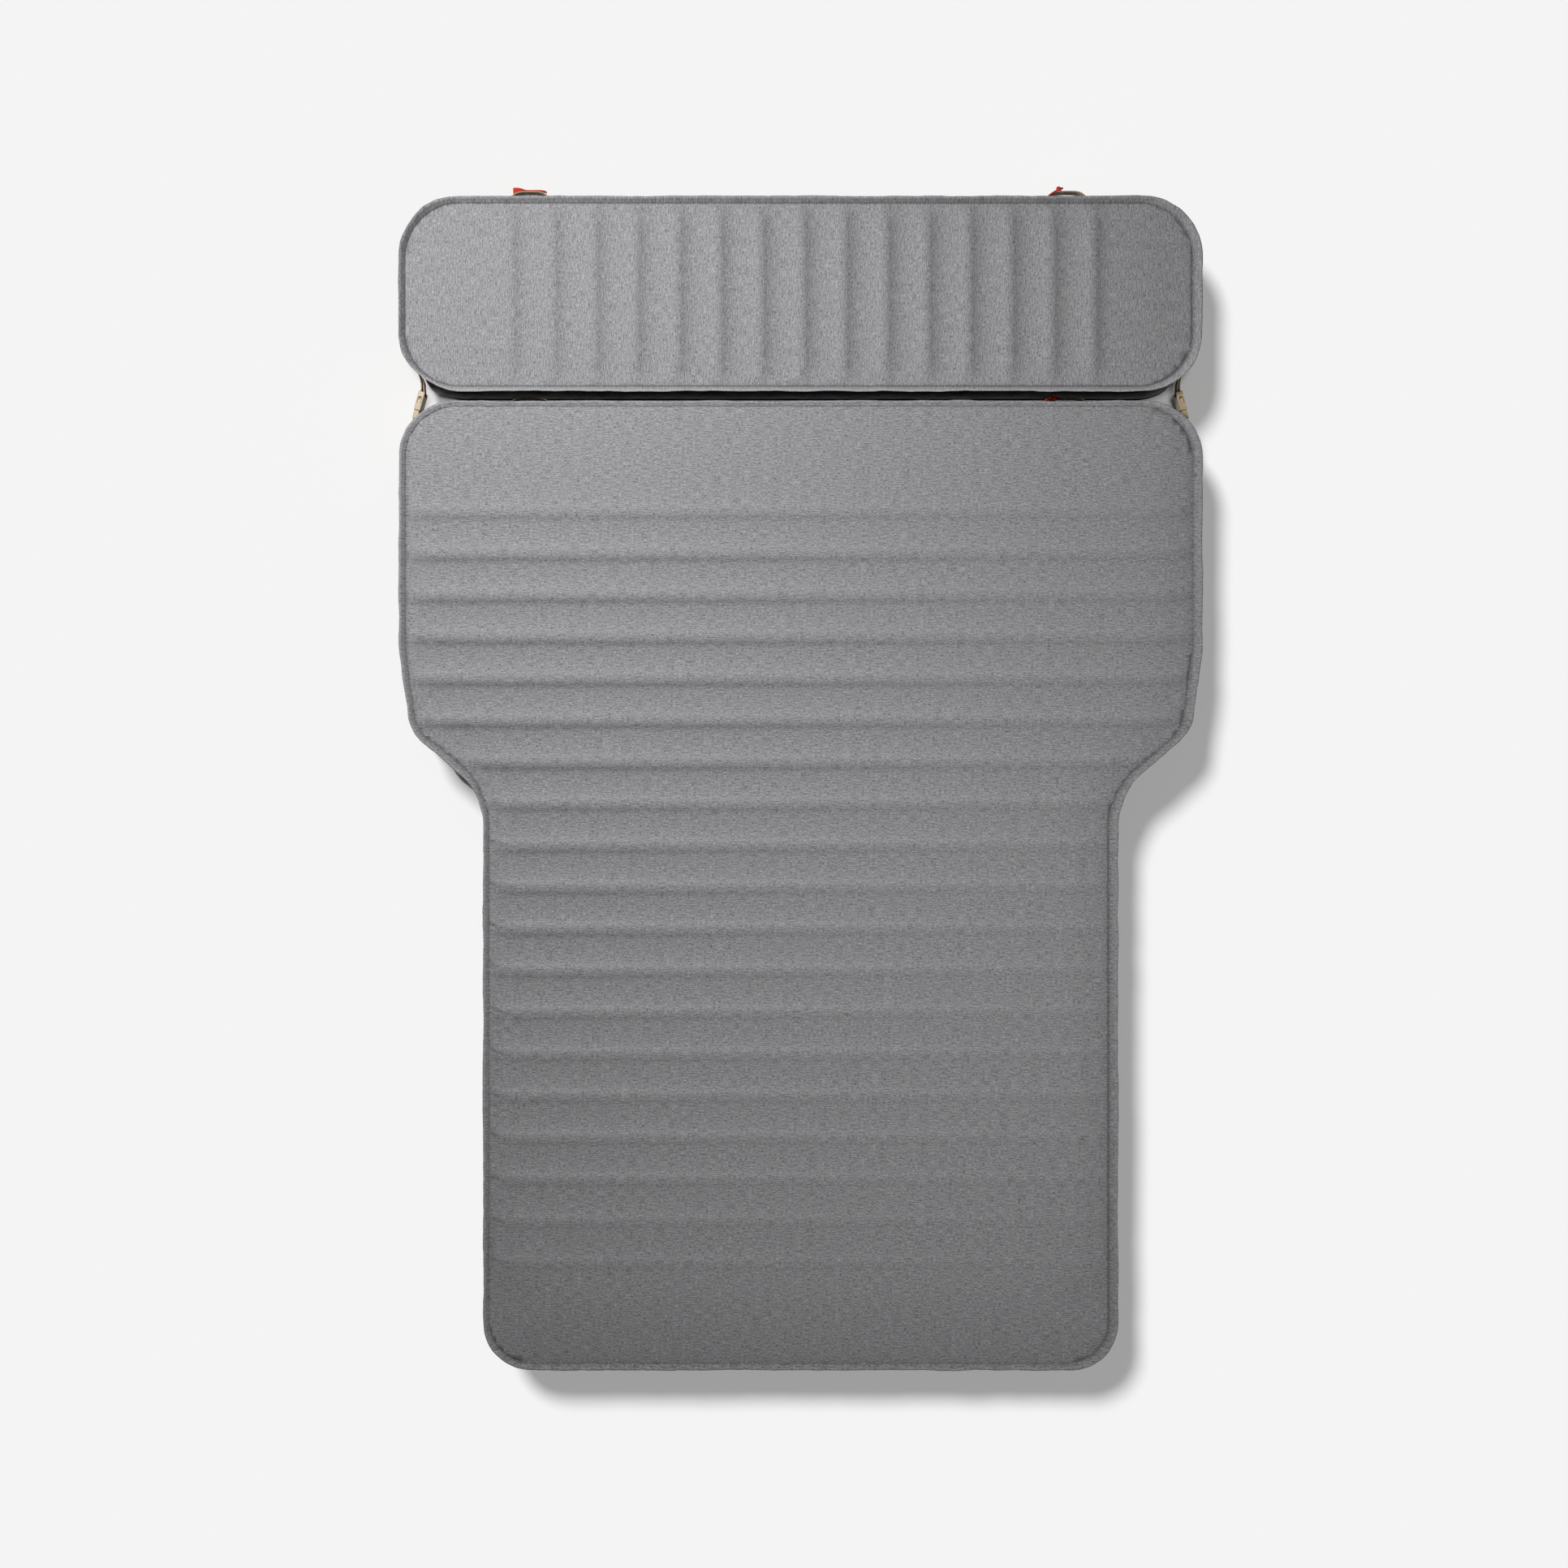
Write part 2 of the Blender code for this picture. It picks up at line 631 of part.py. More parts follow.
def add_socket(side, axis):
    """The female half: an open case with a window in each edge, and a bar for the head pad's strap."""
    case = box(
        f"{side}_buckle_socket",
        (-SOCKET_HALF_THICKNESS, 0, -SOCKET_HALF_WIDTH),
        (SOCKET_HALF_THICKNESS, SOCKET_LENGTH, SOCKET_HALF_WIDTH),
    )
    soften(case, SOCKET_EDGE_RADIUS)
    cavity = box(
        f"{side}_socket_cavity",
        (-CAVITY_HALF_THICKNESS, -CUT_OVERRUN, -SOCKET_MOUTH_HALF_WIDTH),
        (CAVITY_HALF_THICKNESS, CAVITY_DEPTH, SOCKET_MOUTH_HALF_WIDTH),
    )
    reach = SOCKET_HALF_WIDTH + CUT_OVERRUN
    bm = bmesh.new()
    outline = [(CAVITY_HALF_THICKNESS, WINDOW_START)]
    for step in range(WINDOW_ARCH_STEPS + 1):
        angle = math.radians(180) * step / WINDOW_ARCH_STEPS
        rise = WINDOW_END - CAVITY_HALF_THICKNESS + CAVITY_HALF_THICKNESS * math.sin(angle)
        outline.append((CAVITY_HALF_THICKNESS * math.cos(angle), rise))
    outline.append((-CAVITY_HALF_THICKNESS, WINDOW_START))
    bottom = bm.faces.new([bm.verts.new((x, y, -reach)) for x, y in outline])
    grown = bmesh.ops.extrude_face_region(bm, geom=[bottom])
    moved = [item for item in grown["geom"] if isinstance(item, bmesh.types.BMVert)]
    bmesh.ops.translate(bm, verts=moved, vec=(0, 0, 2 * reach))
    bmesh.ops.recalc_face_normals(bm, faces=bm.faces)
    mesh = bpy.data.meshes.new(f"{side}_socket_windows")
    bm.to_mesh(mesh)
    bm.free()
    windows = bpy.data.objects.new(f"{side}_socket_windows", mesh)
    bpy.context.scene.collection.objects.link(windows)
    slot_end = SOCKET_LENGTH - BAR_WIDTH
    slot = box(
        f"{side}_socket_slot",
        (-SOCKET_HALF_THICKNESS - CUT_OVERRUN, slot_end - SLOT_WIDTH, -SLOT_HALF_LENGTH),
        (SOCKET_HALF_THICKNESS + CUT_OVERRUN, slot_end, SLOT_HALF_LENGTH),
    )
    relief = []
    for face in (-1, 1):
        inner = face * BAR_HALF_THICKNESS
        outer = face * (SOCKET_HALF_THICKNESS + CUT_OVERRUN)
        relief.append(box(
            f"{side}_socket_bar_relief_{'inner' if face < 0 else 'outer'}",
            (min(inner, outer), slot_end - SLOT_WIDTH, -SLOT_HALF_LENGTH),
            (max(inner, outer), SOCKET_LENGTH + CUT_OVERRUN, SLOT_HALF_LENGTH),
        ))
    for cutter in (cavity, windows, slot, *relief):
        boolean(case, cutter, "DIFFERENCE")
        set_parent(cutter, axis)
    set_parent(case, axis)
    finish_piece(case, TAN_ACETAL)
    return case


def add_plug(side, axis):
    """The male half: a ladder end for the main pad's strap, a shoulder, and a guide prong up the middle."""
    shoulder = -RUNNING_GAP
    frame = box(
        f"{side}_buckle_plug",
        (-PLUG_HALF_THICKNESS, -PLUG_LENGTH, -PLUG_HALF_WIDTH),
        (PLUG_HALF_THICKNESS, shoulder, PLUG_HALF_WIDTH),
    )
    soften(frame, SOCKET_EDGE_RADIUS)
    bar_end = -PLUG_LENGTH + BAR_WIDTH
    slot = box(
        f"{side}_plug_slot",
        (-PLUG_HALF_THICKNESS - CUT_OVERRUN, bar_end, -SLOT_HALF_LENGTH),
        (PLUG_HALF_THICKNESS + CUT_OVERRUN, bar_end + SLOT_WIDTH, SLOT_HALF_LENGTH),
    )
    boolean(frame, slot, "DIFFERENCE")
    set_parent(slot, axis)
    for face in (-1, 1):
        inner = face * BAR_HALF_THICKNESS
        outer = face * (PLUG_HALF_THICKNESS + CUT_OVERRUN)
        relief = box(
            f"{side}_plug_bar_relief_{'inner' if face < 0 else 'outer'}",
            (min(inner, outer), -PLUG_LENGTH - CUT_OVERRUN, -SLOT_HALF_LENGTH),
            (max(inner, outer), bar_end + SLOT_WIDTH, SLOT_HALF_LENGTH),
        )
        boolean(frame, relief, "DIFFERENCE")
        set_parent(relief, axis)
    straight = PRONG_LENGTH - PRONG_TAPER
    prong = side_profile(
        f"{side}_plug_prong",
        [
            (shoulder - CUT_OVERRUN / 2, -PRONG_HALF_WIDTH),
            (straight, -PRONG_HALF_WIDTH),
            (PRONG_LENGTH, -PRONG_HALF_WIDTH / 2),
            (PRONG_LENGTH, PRONG_HALF_WIDTH / 2),
            (straight, PRONG_HALF_WIDTH),
            (shoulder - CUT_OVERRUN / 2, PRONG_HALF_WIDTH),
        ],
        PRONG_HALF_THICKNESS,
    )
    boolean(frame, prong, "UNION")
    set_parent(prong, axis)
    set_parent(frame, axis)
    finish_piece(frame, TAN_ACETAL)
    return frame


def arm_outline():
    """One latch arm about its own flexing root: a slim beam, then a barb that stands out of the window."""
    root = -ARM_PIVOT + RUNNING_GAP
    catch = WINDOW_START + RUNNING_GAP - ARM_PIVOT
    tip = ARM_LENGTH - ARM_PIVOT
    pad = ARM_PAD_HEIGHT - ARM_PIVOT_HEIGHT
    tip_top = ARM_TIP_HEIGHT - ARM_PIVOT_HEIGHT
    pad_end = (catch + tip) / 2
    return [
        (root, -ARM_ROOT_HALF_WIDTH),
        (ARM_BEAM_START, -ARM_BEAM_HALF_WIDTH),
        (tip - ARM_BEAM_HALF_WIDTH, -ARM_BEAM_HALF_WIDTH),
        (tip, 0),
        (tip, tip_top - ARM_BEAM_HALF_WIDTH),
        (tip - ARM_BEAM_HALF_WIDTH, tip_top),
        (pad_end, pad),
        (catch, pad),
        (catch, ARM_BEAM_HALF_WIDTH),
        (ARM_BEAM_START, ARM_BEAM_HALF_WIDTH),
        (root, ARM_ROOT_HALF_WIDTH),
    ]


def add_arm(side, name, way, axis):
    """The upper and lower arms are mirror images, each with its origin on its root."""
    outline = [(along, way * up) for along, up in arm_outline()]
    arm = side_profile(f"{side}_buckle_arm_{name}", outline, ARM_HALF_THICKNESS)
    arm.location = (0, ARM_PIVOT, way * ARM_PIVOT_HEIGHT)
    set_parent(arm, axis)
    finish_piece(arm, TAN_ACETAL)
    return arm


def strap_frame(side_sign):
    """Where the main pad's strap leaves its wall, and the direction that it and the buckle then take."""
    corner = Vector((PAD_WIDTH / 2 - MAIN_CORNER_RADIUS, MAIN_HEAD_Y - MAIN_CORNER_RADIUS))
    radius = MAIN_CORNER_RADIUS - WALL_INSET + WEBBING_STAND
    leave = corner + radius * Vector((math.cos(CORNER_ANGLE), math.sin(CORNER_ANGLE)))
    along = Vector((-math.sin(CORNER_ANGLE), math.cos(CORNER_ANGLE)))
    mirror = Vector((side_sign, 1))
    return leave * mirror, along * mirror


def wrapped_bar(mouth, along, out, bar_middle, way):
    """Webbing round a buckle's bar, from its outer side. Way is +1 where it comes from the head end."""
    def at(forward, sideways):
        return mouth + along * forward + out * sideways

    stand = BAR_HALF_THICKNESS + WEBBING_STAND
    open_side = bar_middle + way * BAR_WIDTH / 2
    closed_side = bar_middle - way * BAR_WIDTH / 2
    points = [at(open_side, stand)]
    for face, first_step in ((1, 0), (-1, WRAP_STEPS)):
        for step in range(WRAP_STEPS + 1):
            angle = math.radians(90) * (first_step + step) / WRAP_STEPS
            forward = closed_side - way * WEBBING_STAND * math.sin(angle)
            points.append(at(forward, face * BAR_HALF_THICKNESS + WEBBING_STAND * math.cos(angle)))
    points.append(at(open_side, -stand))
    return points


def under_leg(path, place_in_path, out):
    """Where the strap's returning end meets its own inner face."""
    direction = path[place_in_path + 1] - path[place_in_path - 1]
    face = Vector((direction.y, -direction.x)).normalized()
    inward = -face if face.dot(out) > 0 else face
    return path[place_in_path] + inward * (WEBBING_THICKNESS + RUNNING_GAP * 2)


def add_straps(side_sign, side, head_axis):
    leave, along = strap_frame(side_sign)
    out = Vector((along.y, -along.x)) * side_sign
    mouth = leave + along * BUCKLE_MOUTH
    wall_x = side_sign * (PAD_WIDTH / 2 - WALL_INSET + WEBBING_STAND)
    corner_y = MAIN_HEAD_Y - MAIN_CORNER_RADIUS
    wrap = wrapped_bar(mouth, along, out, -PLUG_LENGTH + BAR_WIDTH / 2, -1)
    free_run = [leave.lerp(wrap[0], step / STRAP_BEND_STEPS) for step in range(1, STRAP_BEND_STEPS)]
    main_path = [Vector((wall_x, corner_y - MAIN_STRAP_LAP)), Vector((wall_x, corner_y)), leave, *free_run]
    close = under_leg(main_path, len(main_path) - STRAP_RETURN_STEPS, out)
    main_path += [*wrap, close]
    add_webbing(f"main_strap_{side}", main_path)

    centre = Vector((side_sign * (PAD_WIDTH / 2 - HEAD_CORNER_RADIUS), HEAD_FRONT_Y + HEAD_CORNER_RADIUS))
    radius = HEAD_CORNER_RADIUS - WALL_INSET + WEBBING_STAND
    head_path = []
    for step in range(HEAD_STRAP_STEPS + 1):
        angle = CORNER_ANGLE * step
        head_path.append(centre + radius * Vector((side_sign * math.cos(angle), -math.sin(angle))))
    last = CORNER_ANGLE * HEAD_STRAP_STEPS
    departing = Vector((-side_sign * math.sin(last), -math.cos(last)))
    wrap = wrapped_bar(mouth, along, out, SOCKET_LENGTH - BAR_WIDTH / 2, 1)
    start = head_path[-1]
    apart = wrap[0] - start
    knee = start + departing * (apart.cross(along) / departing.cross(along))
    for step in range(1, STRAP_BEND_STEPS):
        share = step / STRAP_BEND_STEPS
        head_path.append(start * (1 - share) ** 2 + knee * 2 * share * (1 - share) + wrap[0] * share ** 2)
    close = under_leg(head_path, len(head_path) - STRAP_RETURN_STEPS, out)
    head_path += [*wrap, close]
    add_webbing(f"head_strap_{side}", head_path, head_axis)
    return mouth


def add_buckles(head_axis):
    for side_sign, side in ((-1, "left"), (1, "right")):
        mouth = add_straps(side_sign, side, head_axis)
        axis = add_axis(f"{side}_buckle_axis", (*mouth, WEBBING_HEIGHT), (0, 0, side_sign * CORNER_ANGLE))
        add_socket(side, axis)
        add_plug(side, axis)
        add_arm(side, "upper", 1, axis)
        add_arm(side, "lower", -1, axis)
        axis.parent = head_axis
        axis.matrix_parent_inverse = parent_matrix(head_axis).inverted()


# Valves, built with their axis on their own Z, outward, and their hinge towards their own +Y.


def turned(name, profile, smooth=True):
    """A closed profile of radius and height, swept once round its axis."""
    bm = bmesh.new()
    rings = []
    for step in range(VALVE_SIDES):
        angle = math.radians(360) * step / VALVE_SIDES
        rings.append([Vector((r * math.cos(angle), r * math.sin(angle), z)) for r, z in profile])
    add_loft(bm, rings, True)
    bmesh.ops.remove_doubles(bm, verts=bm.verts, dist=RUNNING_GAP / 100)
    bmesh.ops.recalc_face_normals(bm, faces=bm.faces)
    mesh = bpy.data.meshes.new(name)
    bm.to_mesh(mesh)
    bm.free()
    if smooth:
        mesh.shade_smooth()
        mesh.set_sharp_from_angle(angle=SMOOTH)
    thing = bpy.data.objects.new(name, mesh)
    bpy.context.scene.collection.objects.link(thing)
    return thing


def drum(name, radius, low, high, sides):
    """A solid cylinder on the local Z axis."""
    bm = bmesh.new()
    depth = high - low
    bmesh.ops.create_cone(bm, cap_ends=True, segments=sides, radius1=radius, radius2=radius, depth=depth)
    bmesh.ops.translate(bm, verts=bm.verts, vec=(0, 0, (low + high) / 2))
    mesh = bpy.data.meshes.new(name)
    bm.to_mesh(mesh)
    bm.free()
    mesh.shade_smooth()
    mesh.set_sharp_from_angle(angle=SMOOTH)
    thing = bpy.data.objects.new(name, mesh)
    bpy.context.scene.collection.objects.link(thing)
    return thing


SEAT_FACE = RUNNING_GAP + VALVE_FLANGE_THICKNESS
COLLAR_LOW = SEAT_FACE + RUNNING_GAP
COLLAR_FACE = COLLAR_LOW + COLLAR_HEIGHT
SLEEVE_END = COLLAR_LOW - COLLAR_SLEEVE_DEPTH
SPIDER_TOP = SLEEVE_END + SPIDER_THICKNESS
CAP_LOW = COLLAR_FACE + RUNNING_GAP


def add_valve_seat(pad, axis):
    """A flanged tube welded into the wall."""
    barrel = VALVE_BORE_RADIUS + VALVE_BARREL_WALL
    end = RUNNING_GAP - VALVE_BARREL_DEPTH
    lip = VALVE_BORE_RADIUS - VALVE_LIP
    seat = turned(f"{pad}_valve_seat", [
        (VALVE_BORE_RADIUS, SEAT_FACE),
        (VALVE_FLANGE_RADIUS, SEAT_FACE),
        (VALVE_FLANGE_RADIUS, RUNNING_GAP),
        (barrel, RUNNING_GAP),
        (barrel, end),
        (lip, end),
        (lip, end + VALVE_LIP_THICKNESS),
        (VALVE_BORE_RADIUS, end + VALVE_LIP_THICKNESS),
    ])
    set_parent(seat, axis)
    finish_piece(seat, BLACK_NYLON)


def add_valve_collar(pad, axis):
    """The twist ring: a sleeve in the seat, a spider that carries the flap, a grip ring and the cap's ears."""
    sleeve = VALVE_BORE_RADIUS - RUNNING_GAP
    collar = turned(f"{pad}_valve_collar", [
        (COLLAR_BORE_RADIUS, COLLAR_FACE),
        (COLLAR_RADIUS, COLLAR_FACE),
        (COLLAR_RADIUS, COLLAR_LOW),
        (sleeve, COLLAR_LOW),
        (sleeve, SLEEVE_END),
        (COLLAR_BORE_RADIUS, SLEEVE_END),
    ])
    hub = drum(f"{pad}_collar_hub", SPIDER_HUB_RADIUS, SLEEVE_END, SPIDER_TOP, VALVE_SIDES)
    boolean(collar, hub, "UNION")
    reach = (COLLAR_BORE_RADIUS + sleeve) / 2
    half = SPIDER_ARM_WIDTH / 2
    arms = [
        box(f"{pad}_collar_spider_x", (-reach, -half, SLEEVE_END), (reach, half, SPIDER_TOP)),
        box(f"{pad}_collar_spider_y", (-half, -reach, SLEEVE_END), (half, reach, SPIDER_TOP)),
    ]
    for arm in arms:
        boolean(collar, arm, "UNION")
    ears = []
    hinge = HINGE_OUT
    for way in (-1, 1):
        across = sorted((way * HINGE_EAR_INNER, way * HINGE_EAR_OUTER))
        ears.append(box(
            f"{pad}_collar_ear_{'left' if way < 0 else 'right'}",
            (across[0], HINGE_EAR_ROOT, COLLAR_LOW + RUNNING_GAP),
            (across[1], HINGE_RADIAL + HINGE_EAR_TIP, hinge + HINGE_EAR_TIP),
        ))
    for ear in ears:
        boolean(collar, ear, "UNION")
    stem_hole = drum(
        f"{pad}_collar_stem_hole",
        FLAP_STEM_RADIUS + RUNNING_GAP,
        SLEEVE_END - CUT_OVERRUN,
        SPIDER_TOP + CUT_OVERRUN,
        PIN_SIDES,
    )
    pin_reach = HINGE_EAR_OUTER + CUT_OVERRUN
    pin_fit = HINGE_PIN_RADIUS + RUNNING_GAP
    pin_hole = drum(f"{pad}_collar_pin_hole", pin_fit, -pin_reach, pin_reach, PIN_SIDES)
    pin_hole.rotation_euler = (0, math.radians(90), 0)
    pin_hole.location = (0, HINGE_RADIAL, hinge)
    boolean(collar, stem_hole, "DIFFERENCE")
    boolean(collar, pin_hole, "DIFFERENCE")
    grips = []
    for grip in range(COLLAR_GRIPS):
        angle = math.radians(360) * (grip + 1 / 2) / COLLAR_GRIPS
        low, high = COLLAR_LOW - CUT_OVERRUN, COLLAR_FACE + CUT_OVERRUN
        flute = drum(f"{pad}_collar_flute_{grip}", COLLAR_GRIP_RADIUS, low, high, FLUTE_SIDES)
        spread = COLLAR_RADIUS + COLLAR_GRIP_RADIUS - COLLAR_GRIP_DEPTH
        flute.location = (spread * math.cos(angle), spread * math.sin(angle), 0)
        near_ear = flute.location.y > HINGE_EAR_ROOT - COLLAR_GRIP_RADIUS
        if near_ear:
            bpy.data.objects.remove(flute, do_unlink=True)
            continue
        boolean(collar, flute, "DIFFERENCE")
        grips.append(flute)
    for part in (hub, *arms, *ears, stem_hole, pin_hole, *grips, collar):
        set_parent(part, axis)
    finish_piece(collar, BLACK_NYLON)


def add_valve_flap(pad, axis):
    """A soft mushroom: its disc covers the spider's openings, and its stem is pulled through the hub."""
    low = SPIDER_TOP + RUNNING_GAP
    rim = COLLAR_BORE_RADIUS - RUNNING_GAP
    under = SLEEVE_END - RUNNING_GAP
    flap = turned(f"{pad}_valve_flap", [
        (0, low + FLAP_THICKNESS),
        (rim, low + FLAP_THICKNESS),
        (rim, low),
        (FLAP_STEM_RADIUS, low),
        (FLAP_STEM_RADIUS, under),
        (FLAP_HEAD_RADIUS, under),
        (FLAP_STEM_RADIUS / 2, under - FLAP_HEAD_LENGTH),
        (0, under - FLAP_HEAD_LENGTH),
    ])
    set_parent(flap, axis)
    finish_piece(flap, BLACK_SILICONE)


def add_valve_cap(pad, axis):
    """A lid whose ring plugs the collar's bore, with a hinge knuckle and pin between the collar's ears."""
    cap = turned(f"{pad}_valve_cap", [
        (0, CAP_LOW),
        (CAP_PLUG_RADIUS - CAP_PLUG_WALL, CAP_LOW),
        (CAP_PLUG_RADIUS - CAP_PLUG_WALL, CAP_LOW - CAP_PLUG_LENGTH),
        (CAP_PLUG_RADIUS, CAP_LOW - CAP_PLUG_LENGTH),
        (CAP_PLUG_RADIUS, CAP_LOW),
        (CAP_RADIUS, CAP_LOW),
        (CAP_RADIUS, CAP_LOW + CAP_THICKNESS),
        (CAP_RADIUS / 2, CAP_LOW + CAP_THICKNESS + CAP_DOME),
        (0, CAP_LOW + CAP_THICKNESS + CAP_DOME),
    ])
    inner = HINGE_EAR_INNER - RUNNING_GAP
    neck = box(
        f"{pad}_cap_neck",
        (-inner, CAP_RADIUS - HINGE_KNUCKLE_RADIUS * 2, CAP_LOW + RUNNING_GAP),
        (inner, HINGE_RADIAL, CAP_LOW + CAP_THICKNESS - RUNNING_GAP),
    )
    knuckle = drum(f"{pad}_cap_knuckle", HINGE_KNUCKLE_RADIUS, -inner, inner, PIN_SIDES)
    pin = drum(f"{pad}_cap_pin", HINGE_PIN_RADIUS, -HINGE_EAR_OUTER, HINGE_EAR_OUTER, FLUTE_SIDES)
    for part in (knuckle, pin):
        part.rotation_euler = (0, math.radians(90), 0)
        part.location = (0, HINGE_RADIAL, HINGE_OUT)
    for part in (neck, knuckle, pin):
        boolean(cap, part, "UNION")
        set_parent(part, axis)
    set_parent(cap, axis)
    finish_piece(cap, BLACK_NYLON)


def add_valve(pad, wall, core, place_x, wall_y, way, parent):
    """Way is +1 where the wall faces the head end and -1 where it faces the foot."""
    facing = (math.radians(90), 0, math.radians(90) * (1 + way))
    axis = add_axis(f"{pad}_valve_axis", (place_x, wall_y, VALVE_HEIGHT), facing)
    hole = drum(
        f"{pad}_valve_hole", VALVE_BORE_RADIUS + VALVE_BARREL_WALL + RUNNING_GAP,
        -WALL_THICKNESS - CUT_OVERRUN, CUT_OVERRUN, VALVE_SIDES
    )
    pocket = drum(
        f"{pad}_valve_pocket", VALVE_BORE_RADIUS + VALVE_BARREL_WALL + VALVE_POCKET_CLEARANCE,
        -VALVE_BARREL_DEPTH - VALVE_POCKET_CLEARANCE - FLAP_HEAD_LENGTH, CUT_OVERRUN, VALVE_SIDES
    )
    for cutter, target in ((hole, wall), (pocket, core)):
        boolean(target, cutter, "DIFFERENCE")
        set_parent(cutter, axis)
    add_valve_seat(pad, axis)
    add_valve_collar(pad, axis)
    add_valve_flap(pad, axis)
    add_valve_cap(pad, axis)
    if parent is not None:
        axis.parent = parent
        axis.matrix_parent_inverse = parent_matrix(parent).inverted()


# Pull cords.


def smooth_route(points, steps):
    """A curve through the route's own points, each span cut into equal shares."""
    places = [Vector(p) for p in points]
    ends = [places[0] * 2 - places[1], *places, places[-1] * 2 - places[-2]]
    route = []
    for a, b, c, d in zip(ends, ends[1:], ends[2:], ends[3:]):
        for step in range(steps):
            t = step / steps
            squared = (a * 2 - b * 5 + c * 4 - d) * t * t
            cubed = (b * 3 - a - c * 3 + d) * t ** 3
            route.append((b * 2 + (c - a) * t + squared + cubed) / 2)
    route.append(places[-1])
    return route


def add_cord(pad, route, knot_place, knot_tail, wall_y, parent):
    """A cord end sewn into the wall, with a stopper knot just before its cut end."""
    def in_place(point):
        return Vector((point[0], wall_y + point[1], point[2]))

    points = smooth_route([in_place(p) for p in route], CORD_POINTS_PER_SPAN)
    curve = bpy.data.curves.new(f"{pad}_pull_cord", "CURVE")
    curve.dimensions = "3D"
    curve.bevel_depth = CORD_RADIUS
    curve.bevel_resolution = 2
    curve.use_fill_caps = True
    spline = curve.splines.new("POLY")
    spline.points.add(len(points) - 1)
    for target, point in zip(spline.points, points):
        target.co = (*point, 1)
    cord = bpy.data.objects.new(f"{pad}_pull_cord", curve)
    bpy.context.scene.collection.objects.link(cord)
    curve.materials.append(make_material(cord.name, RED_CORD))
    place(cord, parent)

    centre = in_place(knot_place)
    tail = in_place(knot_tail)
    bm = bmesh.new()
    bmesh.ops.create_uvsphere(bm, u_segments=12, v_segments=8, radius=KNOT_RADIUS)
    bmesh.ops.translate(bm, verts=bm.verts, vec=centre)
    knot = add_piece(f"{pad}_pull_knot", bm, RED_CORD, parent, SMOOTH)
    stub = drum(f"{pad}_knot_tail", CORD_RADIUS, 0, (tail - centre).length, 8)
    stub.rotation_euler = (tail - centre).to_track_quat("Z", "Y").to_euler()
    stub.location = centre
    place(stub, parent)
    boolean(knot, stub, "UNION")


def build():
    clear_scene()
    leave, along = strap_frame(1)
    hinge_y = (leave + along * (BUCKLE_MOUTH - PLUG_LENGTH) / 2).y
    head_axis = add_axis("head_tilt_axis", (0, hinge_y, WEBBING_HEIGHT))
    main_half = main_half_outline()
    head_half = head_half_outline()
    main_channels = [MAIN_HEAD_Y - CHANNEL_START - CHANNEL_PITCH * i for i in range(MAIN_CHANNELS)]
    head_channels = [-PAD_WIDTH / 2 + CHANNEL_START + CHANNEL_PITCH * i for i in range(HEAD_CHANNELS)]
    main_wall, main_core = add_pad("main", main_half, 1, main_channels, None)
    head_wall, head_core = add_pad("head", head_half, 0, head_channels, head_axis)
    add_valve("main", main_wall, main_core, VALVE_OFFSET, FOOT_Y + WALL_INSET, -1, None)
    add_valve("head", head_wall, head_core, VALVE_OFFSET, HEAD_BACK_Y - WALL_INSET, 1, head_axis)
    add_loops(head_axis)
    add_ribbon_tab(head_axis)
    add_buckles(head_axis)
    head_back = HEAD_BACK_Y - WALL_INSET
    main_back = MAIN_HEAD_Y - WALL_INSET
    add_cord("head", HEAD_CORD_ROUTE, HEAD_KNOT_PLACE, HEAD_KNOT_TAIL, head_back, head_axis)
    add_cord("main", MAIN_CORD_ROUTE, MAIN_KNOT_PLACE, MAIN_KNOT_TAIL, main_back, None)


build()
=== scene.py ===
import math

import bmesh
import bpy
import numpy as np
from mathutils import Matrix, Vector, noise


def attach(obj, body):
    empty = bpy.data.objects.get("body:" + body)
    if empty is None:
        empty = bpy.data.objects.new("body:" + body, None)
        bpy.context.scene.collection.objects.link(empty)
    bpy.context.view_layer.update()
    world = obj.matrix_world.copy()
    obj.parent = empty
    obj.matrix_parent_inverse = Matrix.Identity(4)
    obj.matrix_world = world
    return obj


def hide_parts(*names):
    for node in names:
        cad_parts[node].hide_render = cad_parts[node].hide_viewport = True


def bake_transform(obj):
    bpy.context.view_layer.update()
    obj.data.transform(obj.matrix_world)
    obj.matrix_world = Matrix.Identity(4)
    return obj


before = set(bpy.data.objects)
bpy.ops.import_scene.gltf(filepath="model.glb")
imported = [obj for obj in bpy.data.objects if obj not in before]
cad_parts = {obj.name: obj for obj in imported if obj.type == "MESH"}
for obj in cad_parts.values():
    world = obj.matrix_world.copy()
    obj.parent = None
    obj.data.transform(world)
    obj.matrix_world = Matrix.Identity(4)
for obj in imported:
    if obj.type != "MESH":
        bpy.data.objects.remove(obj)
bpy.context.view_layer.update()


# Camera and studio lamps. The bed is seen from straight above. A soft main lamp hangs over the head end's
# left corner and a weaker one over the main pad's right side. The floor has its own lamps, so that it stays
# evenly pale.
def add_object(name, data):
    """An object at the origin, in the scene."""
    thing = bpy.data.objects.new(name, data)
    bpy.context.scene.collection.objects.link(thing)
    return thing


camera = add_object("camera", bpy.data.cameras.new("camera"))
camera.location = (-0.0278, -0.0114, 4.045)
camera.data.lens = 54.3
camera.data.sensor_width = 36
bpy.context.scene.camera = camera
bpy.context.scene.view_settings.view_transform = "Standard"

world = bpy.data.worlds.new("studio")
world.use_nodes = True
background = world.node_tree.nodes["Background"]
background.inputs["Color"].default_value = (1, 1, 1, 1)
background.inputs["Strength"].default_value = 0.07
bpy.context.scene.world = world


